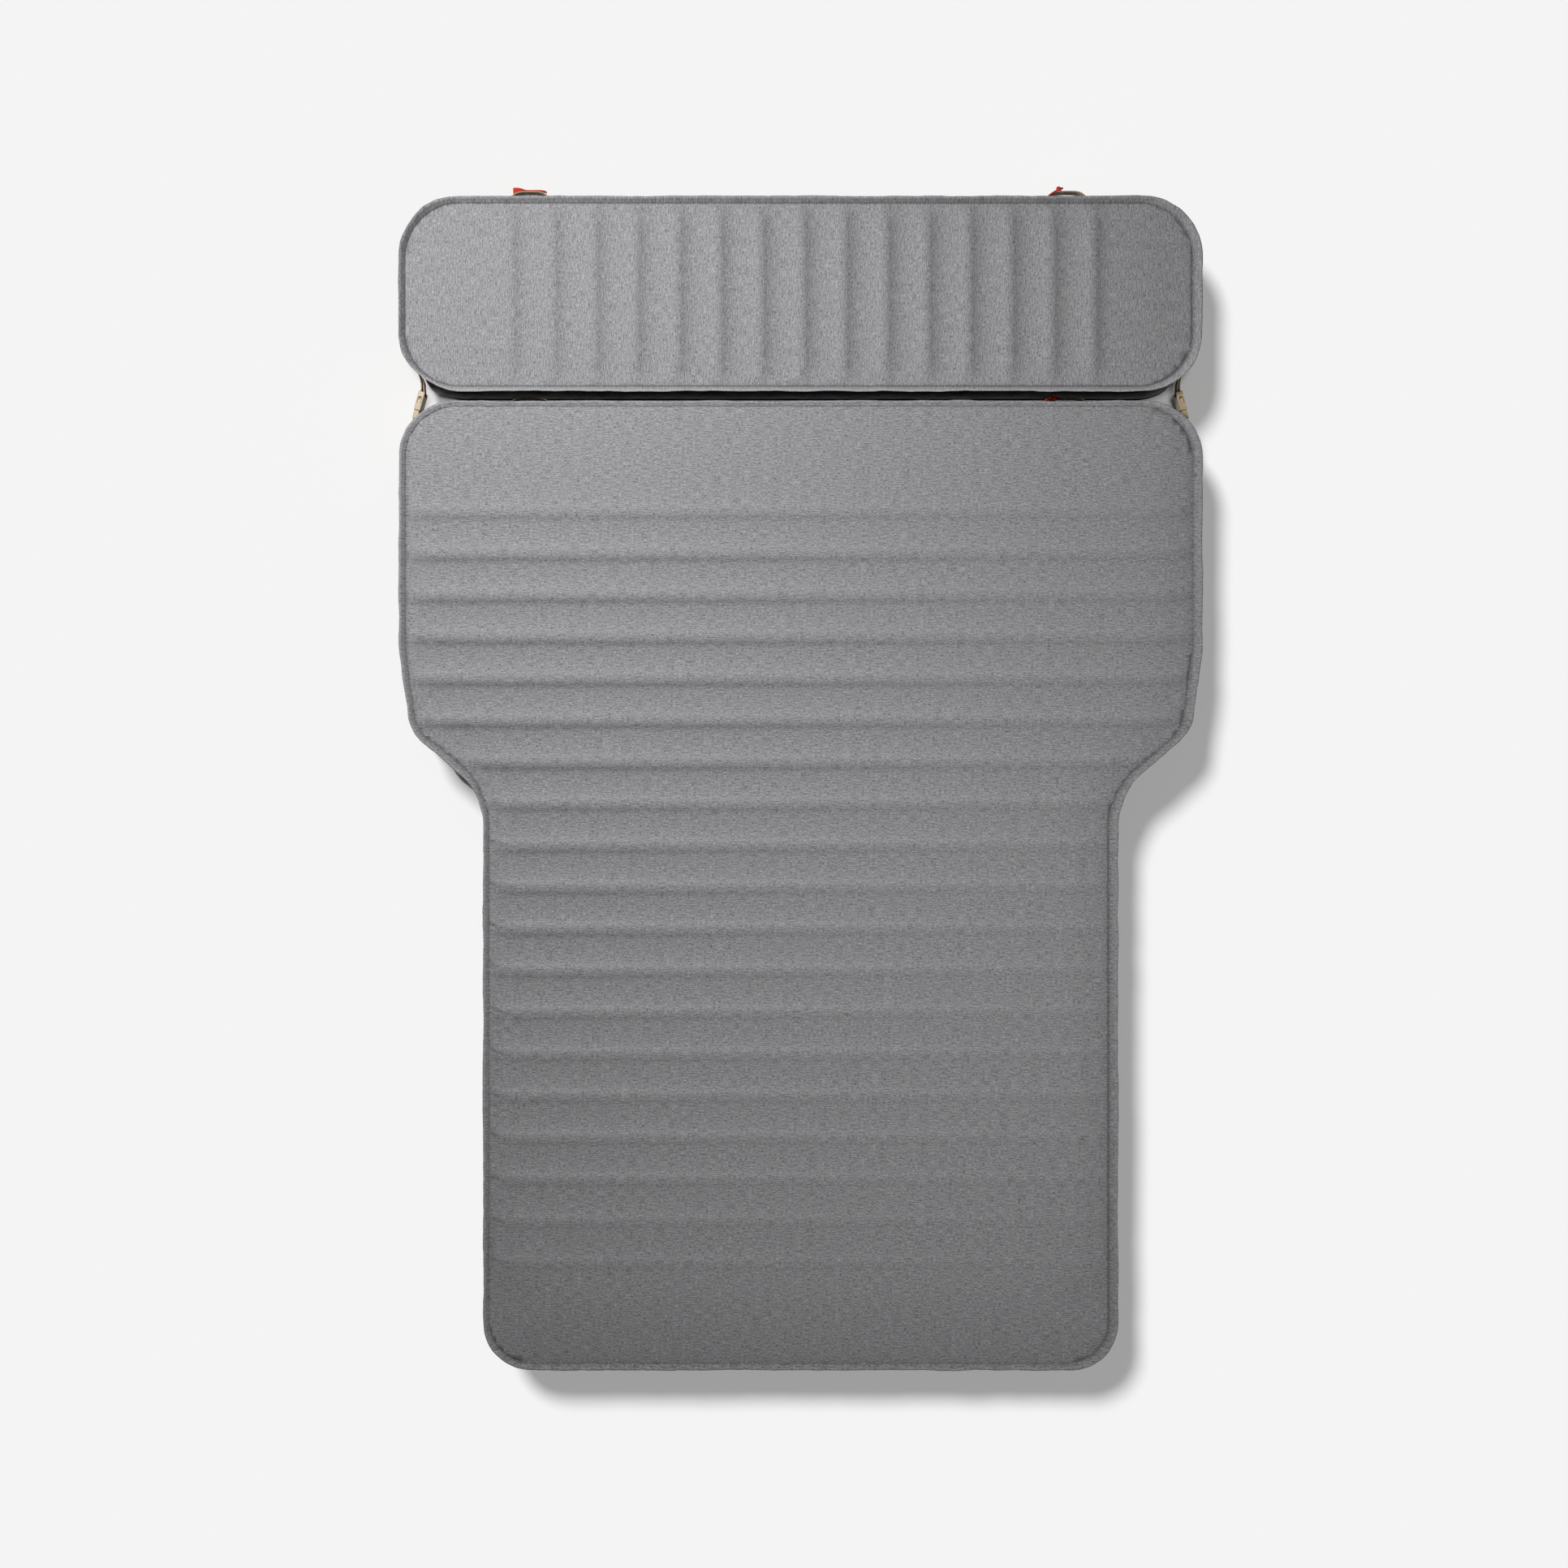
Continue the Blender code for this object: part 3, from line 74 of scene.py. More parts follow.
def add_lamp(name, kind, place, aim, energy, size):
    """A lamp that the camera doesn't see. Its size is a disk's width or a sun's angle."""
    data = bpy.data.lights.new(name, kind)
    data.energy = energy
    if kind == "AREA":
        data.shape = "DISK"
        data.size = size
    else:
        data.angle = size
    lamp = add_object(name, data)
    lamp.location = place
    lamp.rotation_euler = (Vector(aim) - Vector(place)).to_track_quat("-Z", "Y").to_euler()
    lamp.visible_camera = False
    return lamp


main_lamp = add_lamp("main_lamp", "AREA", (-0.8, 1.1, 1.7), (-0.2, 0.8, 0.1), 27.3, 0.42)
side_lamp = add_lamp("side_lamp", "AREA", (0.5, -0.5, 1.8), (0.1, -0.1, 0.1), 9.4, 0.8)
floor_sun = add_lamp("floor_sun", "SUN", (-0.50, 0.77, 1), (0, 0, 0), 2.96, 0.23)
floor_fill = add_lamp("floor_fill", "SUN", (0, 0, 2), (0, 0, 0), 1.16, 0.20)


def new_material(name, roughness, sheen=0):
    """A material with its Principled shader, and the shader itself."""
    material = bpy.data.materials.new(name)
    material.use_nodes = True
    shader = material.node_tree.nodes["Principled BSDF"]
    shader.inputs["Roughness"].default_value = roughness
    shader.inputs["Sheen Weight"].default_value = sheen
    shader.inputs["Sheen Roughness"].default_value = 0.4
    return material, shader


FLOOR_HALF = 7
FLOOR_LEVEL = -0.0006
floor_paper, paper_shader = new_material("floor_paper", 1)
paper_shader.inputs["Base Color"].default_value = (0.8, 0.8, 0.8, 1)
paper_shader.inputs["Specular IOR Level"].default_value = 0
bm = bmesh.new()
bmesh.ops.create_grid(bm, x_segments=1, y_segments=1, size=FLOOR_HALF)
bmesh.ops.translate(bm, verts=bm.verts, vec=(0, 0, FLOOR_LEVEL))
floor_mesh = bpy.data.meshes.new("floor")
bm.to_mesh(floor_mesh)
bm.free()
floor_mesh.materials.append(floor_paper)
floor = add_object("floor", floor_mesh)

for lamp, on_floor in ((main_lamp, False), (side_lamp, False), (floor_sun, True), (floor_fill, True)):
    lit = bpy.data.collections.new(lamp.name + "_on")
    lit.objects.link(floor)
    lit.collection_objects[0].light_linking.link_state = "INCLUDE" if on_floor else "EXCLUDE"
    lamp.light_linking.receiver_collection = lit


# Pull cords. Each pad's right-hand loop has a braided red cord beside it. It leaves the wall just under the
# lip and ends in a tight stopper knot and a short tail whose tip has been melted dark. A route holds places
# across the bed, distances out from the wall, and heights.
WALLS = {"head": 0.96205, "main": 0.62185}
CORD_ROUTES = {
    "head": (
        (0.4105, 0.0007, 0.0695), (0.4118, 0.0070, 0.0695), (0.4150, 0.0125, 0.0690),
        (0.4200, 0.0175, 0.0675), (0.4260, 0.0220, 0.0650), (0.4317, 0.0258, 0.0619),
        (0.4352, 0.0280, 0.0600), (0.4420, 0.0310, 0.0585),
    ),
    "main": (
        (0.4080, 0.0007, 0.0695), (0.4088, 0.0060, 0.0697), (0.4112, 0.0105, 0.0697),
        (0.4152, 0.0135, 0.0690), (0.4200, 0.0152, 0.0677), (0.4237, 0.0160, 0.0664),
        (0.4280, 0.0165, 0.0650), (0.4360, 0.0160, 0.0630),
    ),
}
CORD_RADIUS = 0.0018
MELTED_LENGTH = 0.0025
KNOT_POINTS = 24
KNOT_SIZE = 0.00125
KNOT_DEPTH = 0.0018
BRAIDS_ALONG = 26.0
BRAIDS_AROUND = 5.0


def node(tree, kind, inputs=None, **settings):
    """A node with its settings made and its inputs linked or given values."""
    made = tree.nodes.new("ShaderNode" + kind)
    for key, value in settings.items():
        setattr(made, key, value)
    for key, value in (inputs or {}).items():
        if isinstance(value, bpy.types.NodeSocket):
            tree.links.new(value, made.inputs[key])
        else:
            made.inputs[key].default_value = value
    return made


def math_node(tree, operation, first, second=0.0, third=0.0, clamp=False):
    inputs = {0: first, 1: second, 2: third}
    return node(tree, "Math", inputs, operation=operation, use_clamp=clamp).outputs["Value"]


def colour_between(tree, share, low, high):
    inputs = {"Factor": share, 6: (*low, 1), 7: (*high, 1)}
    return node(tree, "Mix", inputs, data_type="RGBA").outputs[2]


def add_bump(tree, shader, height, distance, strength=1.0):
    inputs = {"Height": height, "Distance": distance, "Strength": strength}
    bump = node(tree, "Bump", inputs)
    tree.links.new(bump.outputs["Normal"], shader.inputs["Normal"])


def cord_materials():
    """The braid, with painted shade between its strands and lighter crests, and its melted end."""
    material, shader = new_material("red_cord", 0.7, 0.3)
    tree = material.node_tree
    split = node(tree, "SeparateXYZ", {"Vector": node(tree, "UVMap", uv_map="UVMap").outputs["UV"]})
    braids = []
    for way in (1, -1):
        turn = math_node(tree, "MULTIPLY", split.outputs["Y"], BRAIDS_AROUND * way)
        run = math_node(tree, "MULTIPLY_ADD", split.outputs["X"], BRAIDS_ALONG, turn)
        braids.append(math_node(tree, "PINGPONG", run, 0.5))
    strands = math_node(tree, "MULTIPLY", math_node(tree, "MAXIMUM", *braids), 2.0)
    # Painted shade: darker red where the strands dip, lighter on their crests.
    colour = colour_between(tree, strands, (0.58, 0.020, 0.016), (0.85, 0.040, 0.030))
    tree.links.new(colour, shader.inputs["Base Color"])
    add_bump(tree, shader, strands, 0.0003)
    end, end_shader = new_material("red_cord_end", 0.35)
    end_shader.inputs["Base Color"].default_value = (0.06, 0.008, 0.006, 1)
    return material, end


def finished_mesh(thing):
    """The mesh that an object comes out as, with a curve's own thickness or with its modifiers."""
    return bpy.data.meshes.new_from_object(thing.evaluated_get(bpy.context.evaluated_depsgraph_get()))


def mesh_along(name, points, smoothing, closed=False, **settings):
    """The mesh of a curve that runs smoothly through the points. Its UV map runs along it, then across."""
    curve = bpy.data.curves.new(name, "CURVE")
    for key, value in settings.items():
        setattr(curve, key, value)
    spline = curve.splines.new("BEZIER")
    spline.bezier_points.add(len(points) - 1)
    for target, point in zip(spline.bezier_points, points):
        target.co = point
        target.handle_left_type = "AUTO"
        target.handle_right_type = "AUTO"
    spline.resolution_u = smoothing
    spline.use_cyclic_u = closed
    line = add_object(name + "_line", curve)
    mesh = finished_mesh(line)
    bpy.data.objects.remove(line)
    return mesh


def tube(name, points, materials, closed=False):
    """A round cord through the points."""
    mesh = mesh_along(name, points, 4, closed, dimensions="3D", bevel_depth=CORD_RADIUS,
                      bevel_resolution=3, use_fill_caps=True)
    mesh.name = name
    mesh.materials.clear()
    for material in materials:
        mesh.materials.append(material)
    mesh.shade_smooth()
    return add_object(name, mesh)


red_cord, melted_end = cord_materials()

for pad, wall in WALLS.items():
    route = [Vector((x, wall + out, z)) for x, out, z in CORD_ROUTES[pad]]
    cord = tube(pad + "_cord", route, [red_cord, melted_end])
    for face in cord.data.polygons:
        face.material_index = int((face.center - route[-1]).length < MELTED_LENGTH)
    ring = []
    for step in range(KNOT_POINTS):
        angle = math.radians(360) * step / KNOT_POINTS
        x = math.sin(angle) + 2 * math.sin(2 * angle)
        y = math.cos(angle) - 2 * math.cos(2 * angle)
        ring.append(Vector((x * KNOT_SIZE, y * KNOT_SIZE, -math.sin(3 * angle) * KNOT_DEPTH)))
    knot = tube(pad + "_knot", ring, [red_cord], closed=True)
    turned = (route[-1] - route[-3]).to_track_quat("Z", "Y").to_matrix().to_4x4()
    knot.data.transform(Matrix.Translation(route[-2]) @ turned)
    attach(cord, pad + "_pad")
    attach(knot, pad + "_pad")
    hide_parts(pad + "_pull_cord")
    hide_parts(pad + "_pull_knot")


# Webbing loops. At each end of a pad's head-side wall there is a carry loop of 25 mm tan webbing on edge,
# sewn flat to the wall at both ends and bowed out between.
WEBBING_WIDTH = 0.025
WEBBING_HEIGHT = 0.0525
WEBBING_THICKNESS = 0.0015
WEBBING_STAND = 0.00105
LOOP_OFFSET = 0.4495
LEFT_LOOP_SHIFT = 0.006
LOOP_HALF = 0.044
LOOP_BOW_HALF = 0.037
LOOP_STEPS = 7
LOOP_BOWS = {"head": 0.023, "main": 0.016}
WEBBING_COLUMNS = 14.0


def woven_group(name):
    """Ribs of a flat weave across a band, by its UV map, with worn and clean places."""
    group = bpy.data.node_groups.new(name, "ShaderNodeTree")
    group.interface.new_socket("Ribs", in_out="INPUT", socket_type="NodeSocketFloat")
    group.interface.new_socket("Height", in_out="OUTPUT", socket_type="NodeSocketFloat")
    group.interface.new_socket("Wear", in_out="OUTPUT", socket_type="NodeSocketFloat")
    given = group.nodes.new("NodeGroupInput")
    made = group.nodes.new("NodeGroupOutput")
    split = node(group, "SeparateXYZ", {"Vector": node(group, "UVMap", uv_map="UVMap").outputs["UV"]})
    along = math_node(group, "MULTIPLY", split.outputs["X"], given.outputs["Ribs"])
    across = math_node(group, "MULTIPLY", split.outputs["Y"], WEBBING_COLUMNS)
    rib = math_node(group, "PINGPONG", along, 0.5)
    column = math_node(group, "PINGPONG", across, 0.5)
    place = node(group, "TexCoord").outputs["Object"]
    blotch = node(group, "TexNoise", {"Vector": place, "Scale": 90.0, "Detail": 3.0}).outputs["Fac"]
    group.links.new(math_node(group, "ADD", rib, column), made.inputs["Height"])
    group.links.new(blotch, made.inputs["Wear"])
    return group


flat_weave = woven_group("flat_weave")


def webbing_material(name, light, dark, ribs=60.0):
    """Woven band, with painted shade between its ribs, and darker where it is worn."""
    material, shader = new_material(name, 0.8, 0.25)
    tree = material.node_tree
    weave = node(tree, "Group", {"Ribs": ribs}, node_tree=flat_weave)
    # Painted shade between the ribs, times the random worn places.
    shade = math_node(tree, "MULTIPLY", weave.outputs["Height"], weave.outputs["Wear"])
    colour = colour_between(tree, math_node(tree, "MULTIPLY", shade, 2.0, clamp=True), dark, light)
    tree.links.new(colour, shader.inputs["Base Color"])
    add_bump(tree, shader, weave.outputs["Height"], 0.0003)
    return material


def keep_mesh(name, bm, materials):
    """The finished bmesh as a smooth object at the origin."""
    bmesh.ops.recalc_face_normals(bm, faces=bm.faces)
    mesh = bpy.data.meshes.new(name)
    bm.to_mesh(mesh)
    bm.free()
    mesh.shade_smooth()
    for material in materials:
        mesh.materials.append(material)
    return add_object(name, mesh)


def thicken(thing, thickness, offset):
    """Gives a sheet its thickness: 0 to both sides, -1 inwards."""
    shell = thing.modifiers.new("thickness", "SOLIDIFY")
    shell.thickness = thickness
    shell.offset = offset
    return shell


def band(name, route, faces, rim=1, width=WEBBING_WIDTH, thickness=WEBBING_THICKNESS, height=WEBBING_HEIGHT):
    """A flat band on edge along a smooth plan route, with its middle at this height. Each of its faces has a
    material, and its rim has one of the two."""
    flat = mesh_along(name, [(x, y, 0) for x, y in route], 3, dimensions="2D", fill_mode="NONE",
                      extrude=width / 2)
    bm = bmesh.new()
    bm.from_mesh(flat)
    upright = [e for e in bm.edges if abs(e.verts[0].co.z - e.verts[1].co.z) > width / 2]
    bmesh.ops.subdivide_edges(bm, edges=upright, cuts=3, use_grid_fill=True)
    bmesh.ops.translate(bm, verts=bm.verts, vec=(0, 0, height))
    thing = keep_mesh(name, bm, faces)
    shell = thicken(thing, thickness, 0)
    shell.material_offset = 1
    shell.material_offset_rim = rim
    return thing


tan_face = webbing_material("tan_webbing", (0.66, 0.50, 0.32), (0.40, 0.29, 0.17))

for pad, wall in WALLS.items():
    sewn = wall + WEBBING_STAND
    for side, middle in (("left", -LOOP_OFFSET - LEFT_LOOP_SHIFT), ("right", LOOP_OFFSET)):
        route = [(middle - LOOP_HALF, sewn)]
        for step in range(-LOOP_STEPS, LOOP_STEPS + 1):
            share = step / LOOP_STEPS
            route.append((middle + LOOP_BOW_HALF * share, sewn + LOOP_BOWS[pad] * (1 - share ** 4) ** 0.8))
        route.append((middle + LOOP_HALF, sewn))
        loop = band(f"{pad}_{side}_loop", route, [tan_face, tan_face])
        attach(loop, pad + "_pad")
        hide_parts(f"{pad}_loop_{side}")


# Red ribbon. A short strip of red ribbon is tacked round the outside of the head pad's left loop, ends free.
# Its left end leans over and the rest has slipped down a little.
RIBBON_WIDTH = 0.012
RIBBON_THICKNESS = 0.0009
RIBBON_HEIGHT = 0.0610
RIBBON_LEAN = 1.2
RIBBON_SLIP = 0.0035
RIBBON_ROUTE = (
    (-0.4840, 0.9866), (-0.4800, 0.9872), (-0.4750, 0.9878), (-0.4690, 0.9882), (-0.4600, 0.9882),
    (-0.4500, 0.9882), (-0.4400, 0.9882), (-0.4330, 0.9876), (-0.4280, 0.9862),
)


def ramp(value, start, run):
    """0 before the start, rising to 1 over the run, which is negative where the ramp faces the other way."""
    return np.clip((value - start) / run, 0, 1)


red_ribbon = webbing_material("red_ribbon", (0.88, 0.055, 0.030), (0.66, 0.030, 0.020), 40.0)
ribbon = band("red_ribbon", RIBBON_ROUTE, [red_ribbon, red_ribbon], width=RIBBON_WIDTH,
              thickness=RIBBON_THICKNESS, height=RIBBON_HEIGHT)
for vert in ribbon.data.vertices:
    lean = RIBBON_LEAN * ramp(vert.co.x, -0.464, -0.020)
    slip = RIBBON_SLIP * ramp(vert.co.x, -0.468, 0.008)
    across = vert.co.z - RIBBON_HEIGHT
    vert.co.y += across * math.sin(lean)
    vert.co.z = RIBBON_HEIGHT + across * math.cos(lean) - slip
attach(ribbon, "head_pad")
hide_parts("head_pull_tab")


# Corner straps. The same webbing joins the pads outside the two corners. The main pad's strap is sewn to its
# wall and threaded round the plug's bar. The head pad's runs round its corner to the socket's bar and hangs
# slack. One face of the webbing and its edges are tan; the other face is painted dark brown as painted shade.
MAIN_STRAP = (
    (0.6640, 0.5044), (0.6640, 0.5343), (0.6610, 0.5573), (0.6582, 0.5705), (0.6554, 0.5838),
    (0.6527, 0.5970), (0.6513, 0.6036), (0.6505, 0.6065), (0.6500, 0.6072), (0.6492, 0.6073),
    (0.6463, 0.6065), (0.6457, 0.6060), (0.6456, 0.6052), (0.6463, 0.6023), (0.6490, 0.5955),
    (0.6520, 0.5862), (0.6538, 0.5767),
)
HEAD_STRAP = (
    (0.6640, 0.7436), (0.6609, 0.7193), (0.6515, 0.6968), (0.6435, 0.6807), (0.6390, 0.6667),
    (0.6381, 0.6547), (0.6390, 0.6495), (0.6397, 0.6466), (0.6396, 0.6458), (0.6390, 0.6453),
    (0.6361, 0.6445), (0.6353, 0.6446), (0.6348, 0.6453), (0.6340, 0.6482), (0.6345, 0.6560),
    (0.6352, 0.6650), (0.6388, 0.6741),
)
# Painted shade: a dark brown copy of the tan webbing for the straps' shaded face.
painted_shade_face = webbing_material("painted_shade_webbing", (0.10, 0.072, 0.05), (0.04, 0.028, 0.02))

for side, way in (("left", -1), ("right", 1)):
    faces = [tan_face, painted_shade_face] if way < 0 else [painted_shade_face, tan_face]
    rim = int(way > 0)
    main_strap = band(f"main_{side}_strap", [(way * x, y) for x, y in MAIN_STRAP], faces, rim)
    head_strap = band(f"head_{side}_strap", [(way * x, y) for x, y in HEAD_STRAP], faces, rim)
    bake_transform(main_strap)
    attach(head_strap, "head_pad")
    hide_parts("main_strap_" + side)
    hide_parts("head_strap_" + side)


# Trays. Each pad's skin below the top is black coated cloth: a base sheet with a weld flange all round, and a
# wall that stands up from it and bulges, round the foam core. The wall has a round pocket for the valve's
# barrel.
WIDE = 0.6705
NARROW = 0.5295
PAD_CORNERS = {
    "main": [
        (WIDE, 0.62935, 0.095), (WIDE, 0.21535, 0.300), (0.6515, 0.07535, 0.070), (NARROW, -0.02865, 0.110),
        (NARROW, -0.98905, 0.079),
    ],
    "head": [(WIDE, 0.96955, 0.100), (WIDE, 0.64355, 0.100)],
}
VALVE_MIDDLES = {"main": Vector((0.25, -0.98155, 0.045)), "head": Vector((0.25, 0.96205, 0.045))}
POCKET_RADIUS = 0.0148
POCKET_LENGTH = 0.036
# How far inside the edge the top's weld lies, and how much further in some places.
SEAM_INSET = 0.0066
RIGHT_SEAM_EXTRA = 0.0062
FRONT_SEAM_EXTRA = 0.003
NOTCH_SEAM_EXTRA = 0.0042
# Where the loops, the straps and the valve's seat hold the wall in.
LOOPS_START = 0.375
LOOPS_BACK = 0.07
STRAPS_START = 0.58
STRAP_SPANS = {"main": (0.46, 0.602), "head": (0.652, 0.79)}
SEAT_REACH = 0.055
FREE_BASE = 0.0010
HELD_BASE = 0.0060
# How far inside the edge the wall stands where it is free and where it is held in, at each height.
WALL_LEVELS = (
    (0.0010, 0.0060, 0.0018), (0.0040, 0.0112, 0.0021), (0.0028, 0.0098, 0.0060), (0.0016, 0.0084, 0.0120),
    (0.0010, 0.0076, 0.0200), (0.0008, 0.0074, 0.0300), (0.0010, 0.0075, 0.0380), (0.0013, 0.0075, 0.0460),
    (0.0017, 0.0075, 0.0540), (0.0024, 0.0075, 0.0620), (0.0033, 0.0075, 0.0690), (0.0040, 0.0075, 0.0740),
    (0.0046, 0.0075, 0.0790), (0.0050, 0.0075, 0.0830), (0.0050, 0.0075, 0.0848),
)
# How far the wall bulges out where it shows beside the lip.
BULGES = {"head": 0.0060, "main": 0.0125}
BELLY_START = 0.002
BELLY_HEIGHT = 0.083
RIPPLE = 0.0014
RIPPLE_SIZE = 0.05
# The wall's last 19 mm draw in to the weld.
DRAW_START = 0.066
DRAW_HEIGHT = 0.0188
TRAY_SPACING = 0.011


def rounded_sheet(corners, spacing):
    """A flat face with rounded corners, mirrored about X 0 and finely divided. Its points carry their number,
    and come back with their outward directions and their distances along the outline."""
    bm = bmesh.new()
    place = bm.verts.layers.int.new("place")
    whole = corners + [(-x, y, r) for x, y, r in reversed(corners)]
    bm.faces.new([bm.verts.new((x, y, 0)) for x, y, r in whole])
    for last, (x, y, radius), following in zip(whole[-1:] + whole[:-1], whole, whole[1:] + whole[:1]):
        arriving = Vector((x - last[0], y - last[1]))
        leaving = Vector((following[0] - x, following[1] - y))
        turn = abs(arriving.angle_signed(leaving))
        corner = min(bm.verts, key=lambda v: (v.co.x - x) ** 2 + (v.co.y - y) ** 2)
        bmesh.ops.bevel(bm, geom=[corner], offset=radius * math.tan(turn / 2), offset_type="OFFSET",
                        segments=max(4, round(radius * turn / spacing)), profile=0.5, affect="VERTICES")
    for edge in list(bm.edges):
        cuts = int(edge.calc_length() / spacing)
        if cuts:
            bmesh.ops.subdivide_edges(bm, edges=[edge], cuts=cuts)
    bm.faces.ensure_lookup_table()
    ring = [loop.vert for loop in bm.faces[0].loops]
    points = np.array([v.co[:2] for v in ring])
    step = np.roll(points, -1, 0) - np.roll(points, 1, 0)
    outward = np.stack([-step[:, 1], step[:, 0]], 1)
    outward /= np.linalg.norm(outward, axis=1)[:, None]
    if np.sum(points[:, 0] * step[:, 1] - points[:, 1] * step[:, 0]) > 0:
        outward = -outward
    for number, vert in enumerate(ring):
        vert[place] = number
    lengths = np.linalg.norm(np.roll(points, -1, 0) - points, axis=1)
    return bm, points, outward, np.concatenate([[0], np.cumsum(lengths)[:-1]])


def lay_ring(bm, verts, points, outward, inset, height):
    """Lays a ring's points at this inset from the outline and this height, which may vary round it."""
    place = bm.verts.layers.int["place"]
    height = np.broadcast_to(height, len(points))
    for vert in verts:
        number = vert[place]
        vert.co = (*(points[number] - outward[number] * inset[number]), height[number])


def raise_ring(bm, edges, points, outward, inset, height):
    """Draws the edges out to a new ring and lays that."""
    made = bmesh.ops.extrude_edge_only(bm, edges=edges)["geom"]
    verts = [g for g in made if isinstance(g, bmesh.types.BMVert)]
    lay_ring(bm, verts, points, outward, inset, height)
    return [g for g in made if isinstance(g, bmesh.types.BMEdge)]


def waves(x, y, z):
    """Smooth random waves, about -1 to 1, at many places. A coordinate may be one number for all of them."""
    return np.array([noise.noise(place) for place in np.broadcast(x, y, z)])


def ease(value):
    """A ramp's value with soft ends."""
    value = np.clip(value, 0, 1)
    return value * value * (3 - 2 * value)


def patch(points, x, y, radius):
    """A soft round patch, 1 in its middle."""
    return np.exp(-((points[:, 0] - x) ** 2 + (points[:, 1] - y) ** 2) / radius ** 2)


def seam_inset(pad, points, outward):
    """How far inside the edge the top's weld lies, all round. It is furthest in along the right side, and
    further in at the head pad's front edge and at the main pad's left notch."""
    inset = SEAM_INSET + RIGHT_SEAM_EXTRA * np.clip(outward[:, 0], 0, 1)
    if pad == "head":
        return inset + FRONT_SEAM_EXTRA * np.clip(-outward[:, 1], 0, 1)
    return inset + NOTCH_SEAM_EXTRA * patch(points, -0.590, 0.015, 0.05)


def bared(pad, points):
    """Where the wall shows beside the lip: the head pad's front left corner and the main pad's left notch."""
    if pad == "head":
        return np.exp(-((points[:, 0] + 0.622) / 0.024) ** 2) * (points[:, 1] < 0.70)
    return patch(points, -0.569, -0.004, 0.032)


def held_in(pad, points):
    """Where the wall is held in by webbing sewn to it or by the valve's seat: 1 there, and 0 elsewhere."""
    x, y = points.T
    back = PAD_CORNERS[pad][0][1]
    near, far = STRAP_SPANS[pad]
    seat = VALVE_MIDDLES[pad]
    loops = ramp(np.abs(x), LOOPS_START, 0.02) * ramp(y, back - LOOPS_BACK, 0.03)
    straps = ramp(y, near, 0.025) * ramp(y, far, -0.025) * (np.abs(x) > STRAPS_START)
    valve = ramp(np.hypot(x - seat.x, y - seat.y), SEAT_REACH, -0.02)
    return ease(np.maximum(np.maximum(loops, straps), valve))


def coated_material():
    """Black cloth with a rubbery coating, faintly clouded, over a fine grain."""
    material, shader = new_material("black_coated_cloth", 0.5)
    tree = material.node_tree
    place = node(tree, "TexCoord").outputs["Object"]
    grain = node(tree, "TexVoronoi", {"Vector": place, "Scale": 900.0}).outputs["Distance"]
    cloud = node(tree, "TexNoise", {"Vector": place, "Scale": 35.0, "Detail": 4.0}).outputs["Fac"]
    colour = colour_between(tree, cloud, (0.009, 0.009, 0.010), (0.017, 0.017, 0.018))
    tree.links.new(colour, shader.inputs["Base Color"])
    tree.links.new(math_node(tree, "MULTIPLY_ADD", cloud, 0.25, 0.40), shader.inputs["Roughness"])
    add_bump(tree, shader, math_node(tree, "MULTIPLY_ADD", cloud, 2.0, grain), 0.0002)
    return material


black_coated = coated_material()

for pad in ("head", "main"):
    bm, points, outward, along = rounded_sheet(PAD_CORNERS[pad], TRAY_SPACING)
    seam = seam_inset(pad, points, outward)
    held = held_in(pad, points)
    bulge = BULGES[pad] * bared(pad, points)
    lay_ring(bm, bm.verts, points, outward, FREE_BASE + (HELD_BASE - FREE_BASE) * held, 0)
    edges = list(bm.edges)
    for free, snug, height in WALL_LEVELS:
        belly = math.sin(math.radians(180) * ramp(height, BELLY_START, BELLY_HEIGHT)) ** 0.5
        ripple = waves(along / RIPPLE_SIZE, height / RIPPLE_SIZE, 3.1) * RIPPLE * belly
        inset = free + np.abs(ripple) - bulge * belly
        inset += (snug - inset) * held
        drawn = ramp(height, DRAW_START, DRAW_HEIGHT) ** 1.5
        edges = raise_ring(bm, edges, points, outward, inset * (1 - drawn) + seam * drawn, height)
    bmesh.ops.holes_fill(bm, edges=edges, sides=0)
    tray = keep_mesh(pad + "_tray", bm, [black_coated])
    bm = bmesh.new()
    bmesh.ops.create_cone(bm, cap_ends=True, segments=48, radius1=POCKET_RADIUS, radius2=POCKET_RADIUS,
                          depth=POCKET_LENGTH)
    bmesh.ops.rotate(bm, verts=bm.verts, matrix=Matrix.Rotation(math.radians(90), 3, "X"))
    bmesh.ops.translate(bm, verts=bm.verts, vec=VALVE_MIDDLES[pad])
    cutter = keep_mesh("valve_pocket", bm, [black_coated])
    pocket = tray.modifiers.new("valve_pocket", "BOOLEAN")
    pocket.solver = "EXACT"
    pocket.object = cutter
    cut = finished_mesh(tray)
    tray.modifiers.clear()
    tray.data = cut
    bpy.data.objects.remove(cutter)
    tray.data.set_sharp_from_angle(angle=math.radians(40))
    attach(tray, pad + "_pad")
    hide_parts(pad + "_side_wall", pad + "_base_cover", pad + "_foam_core")


# Edge lips. The knit top is welded to the wall along a strip 7 to 13 mm wide that stands out all round each
# pad. It is the same heathered knit as the top, turned up and wavy from the weld, with a painted shadow along
# the seam and painted highlight or shade on each side for how the light falls there. The cloth is laid 2
# degrees askew, and the head pad's is turned a quarter.
DARK_YARN = (0.165, 0.165, 0.1705)
LIGHT_YARN = (0.495, 0.495, 0.5085)
# How much painted highlight or shade each side of the lip gets, and how dark the painted shadow along its
# seam is, on the right, head, left and foot sides.
SIDE_PAINTED_LIGHT = {"head": (0.04, 0.0, -0.30, 0.38), "main": (-0.06, 0.10, 0.10, -0.08)}
SEAM_SHADE = {"head": (0.45, 0.35, 0.35, 1.10), "main": (0.45, 0.10, 0.35, 0.35)}
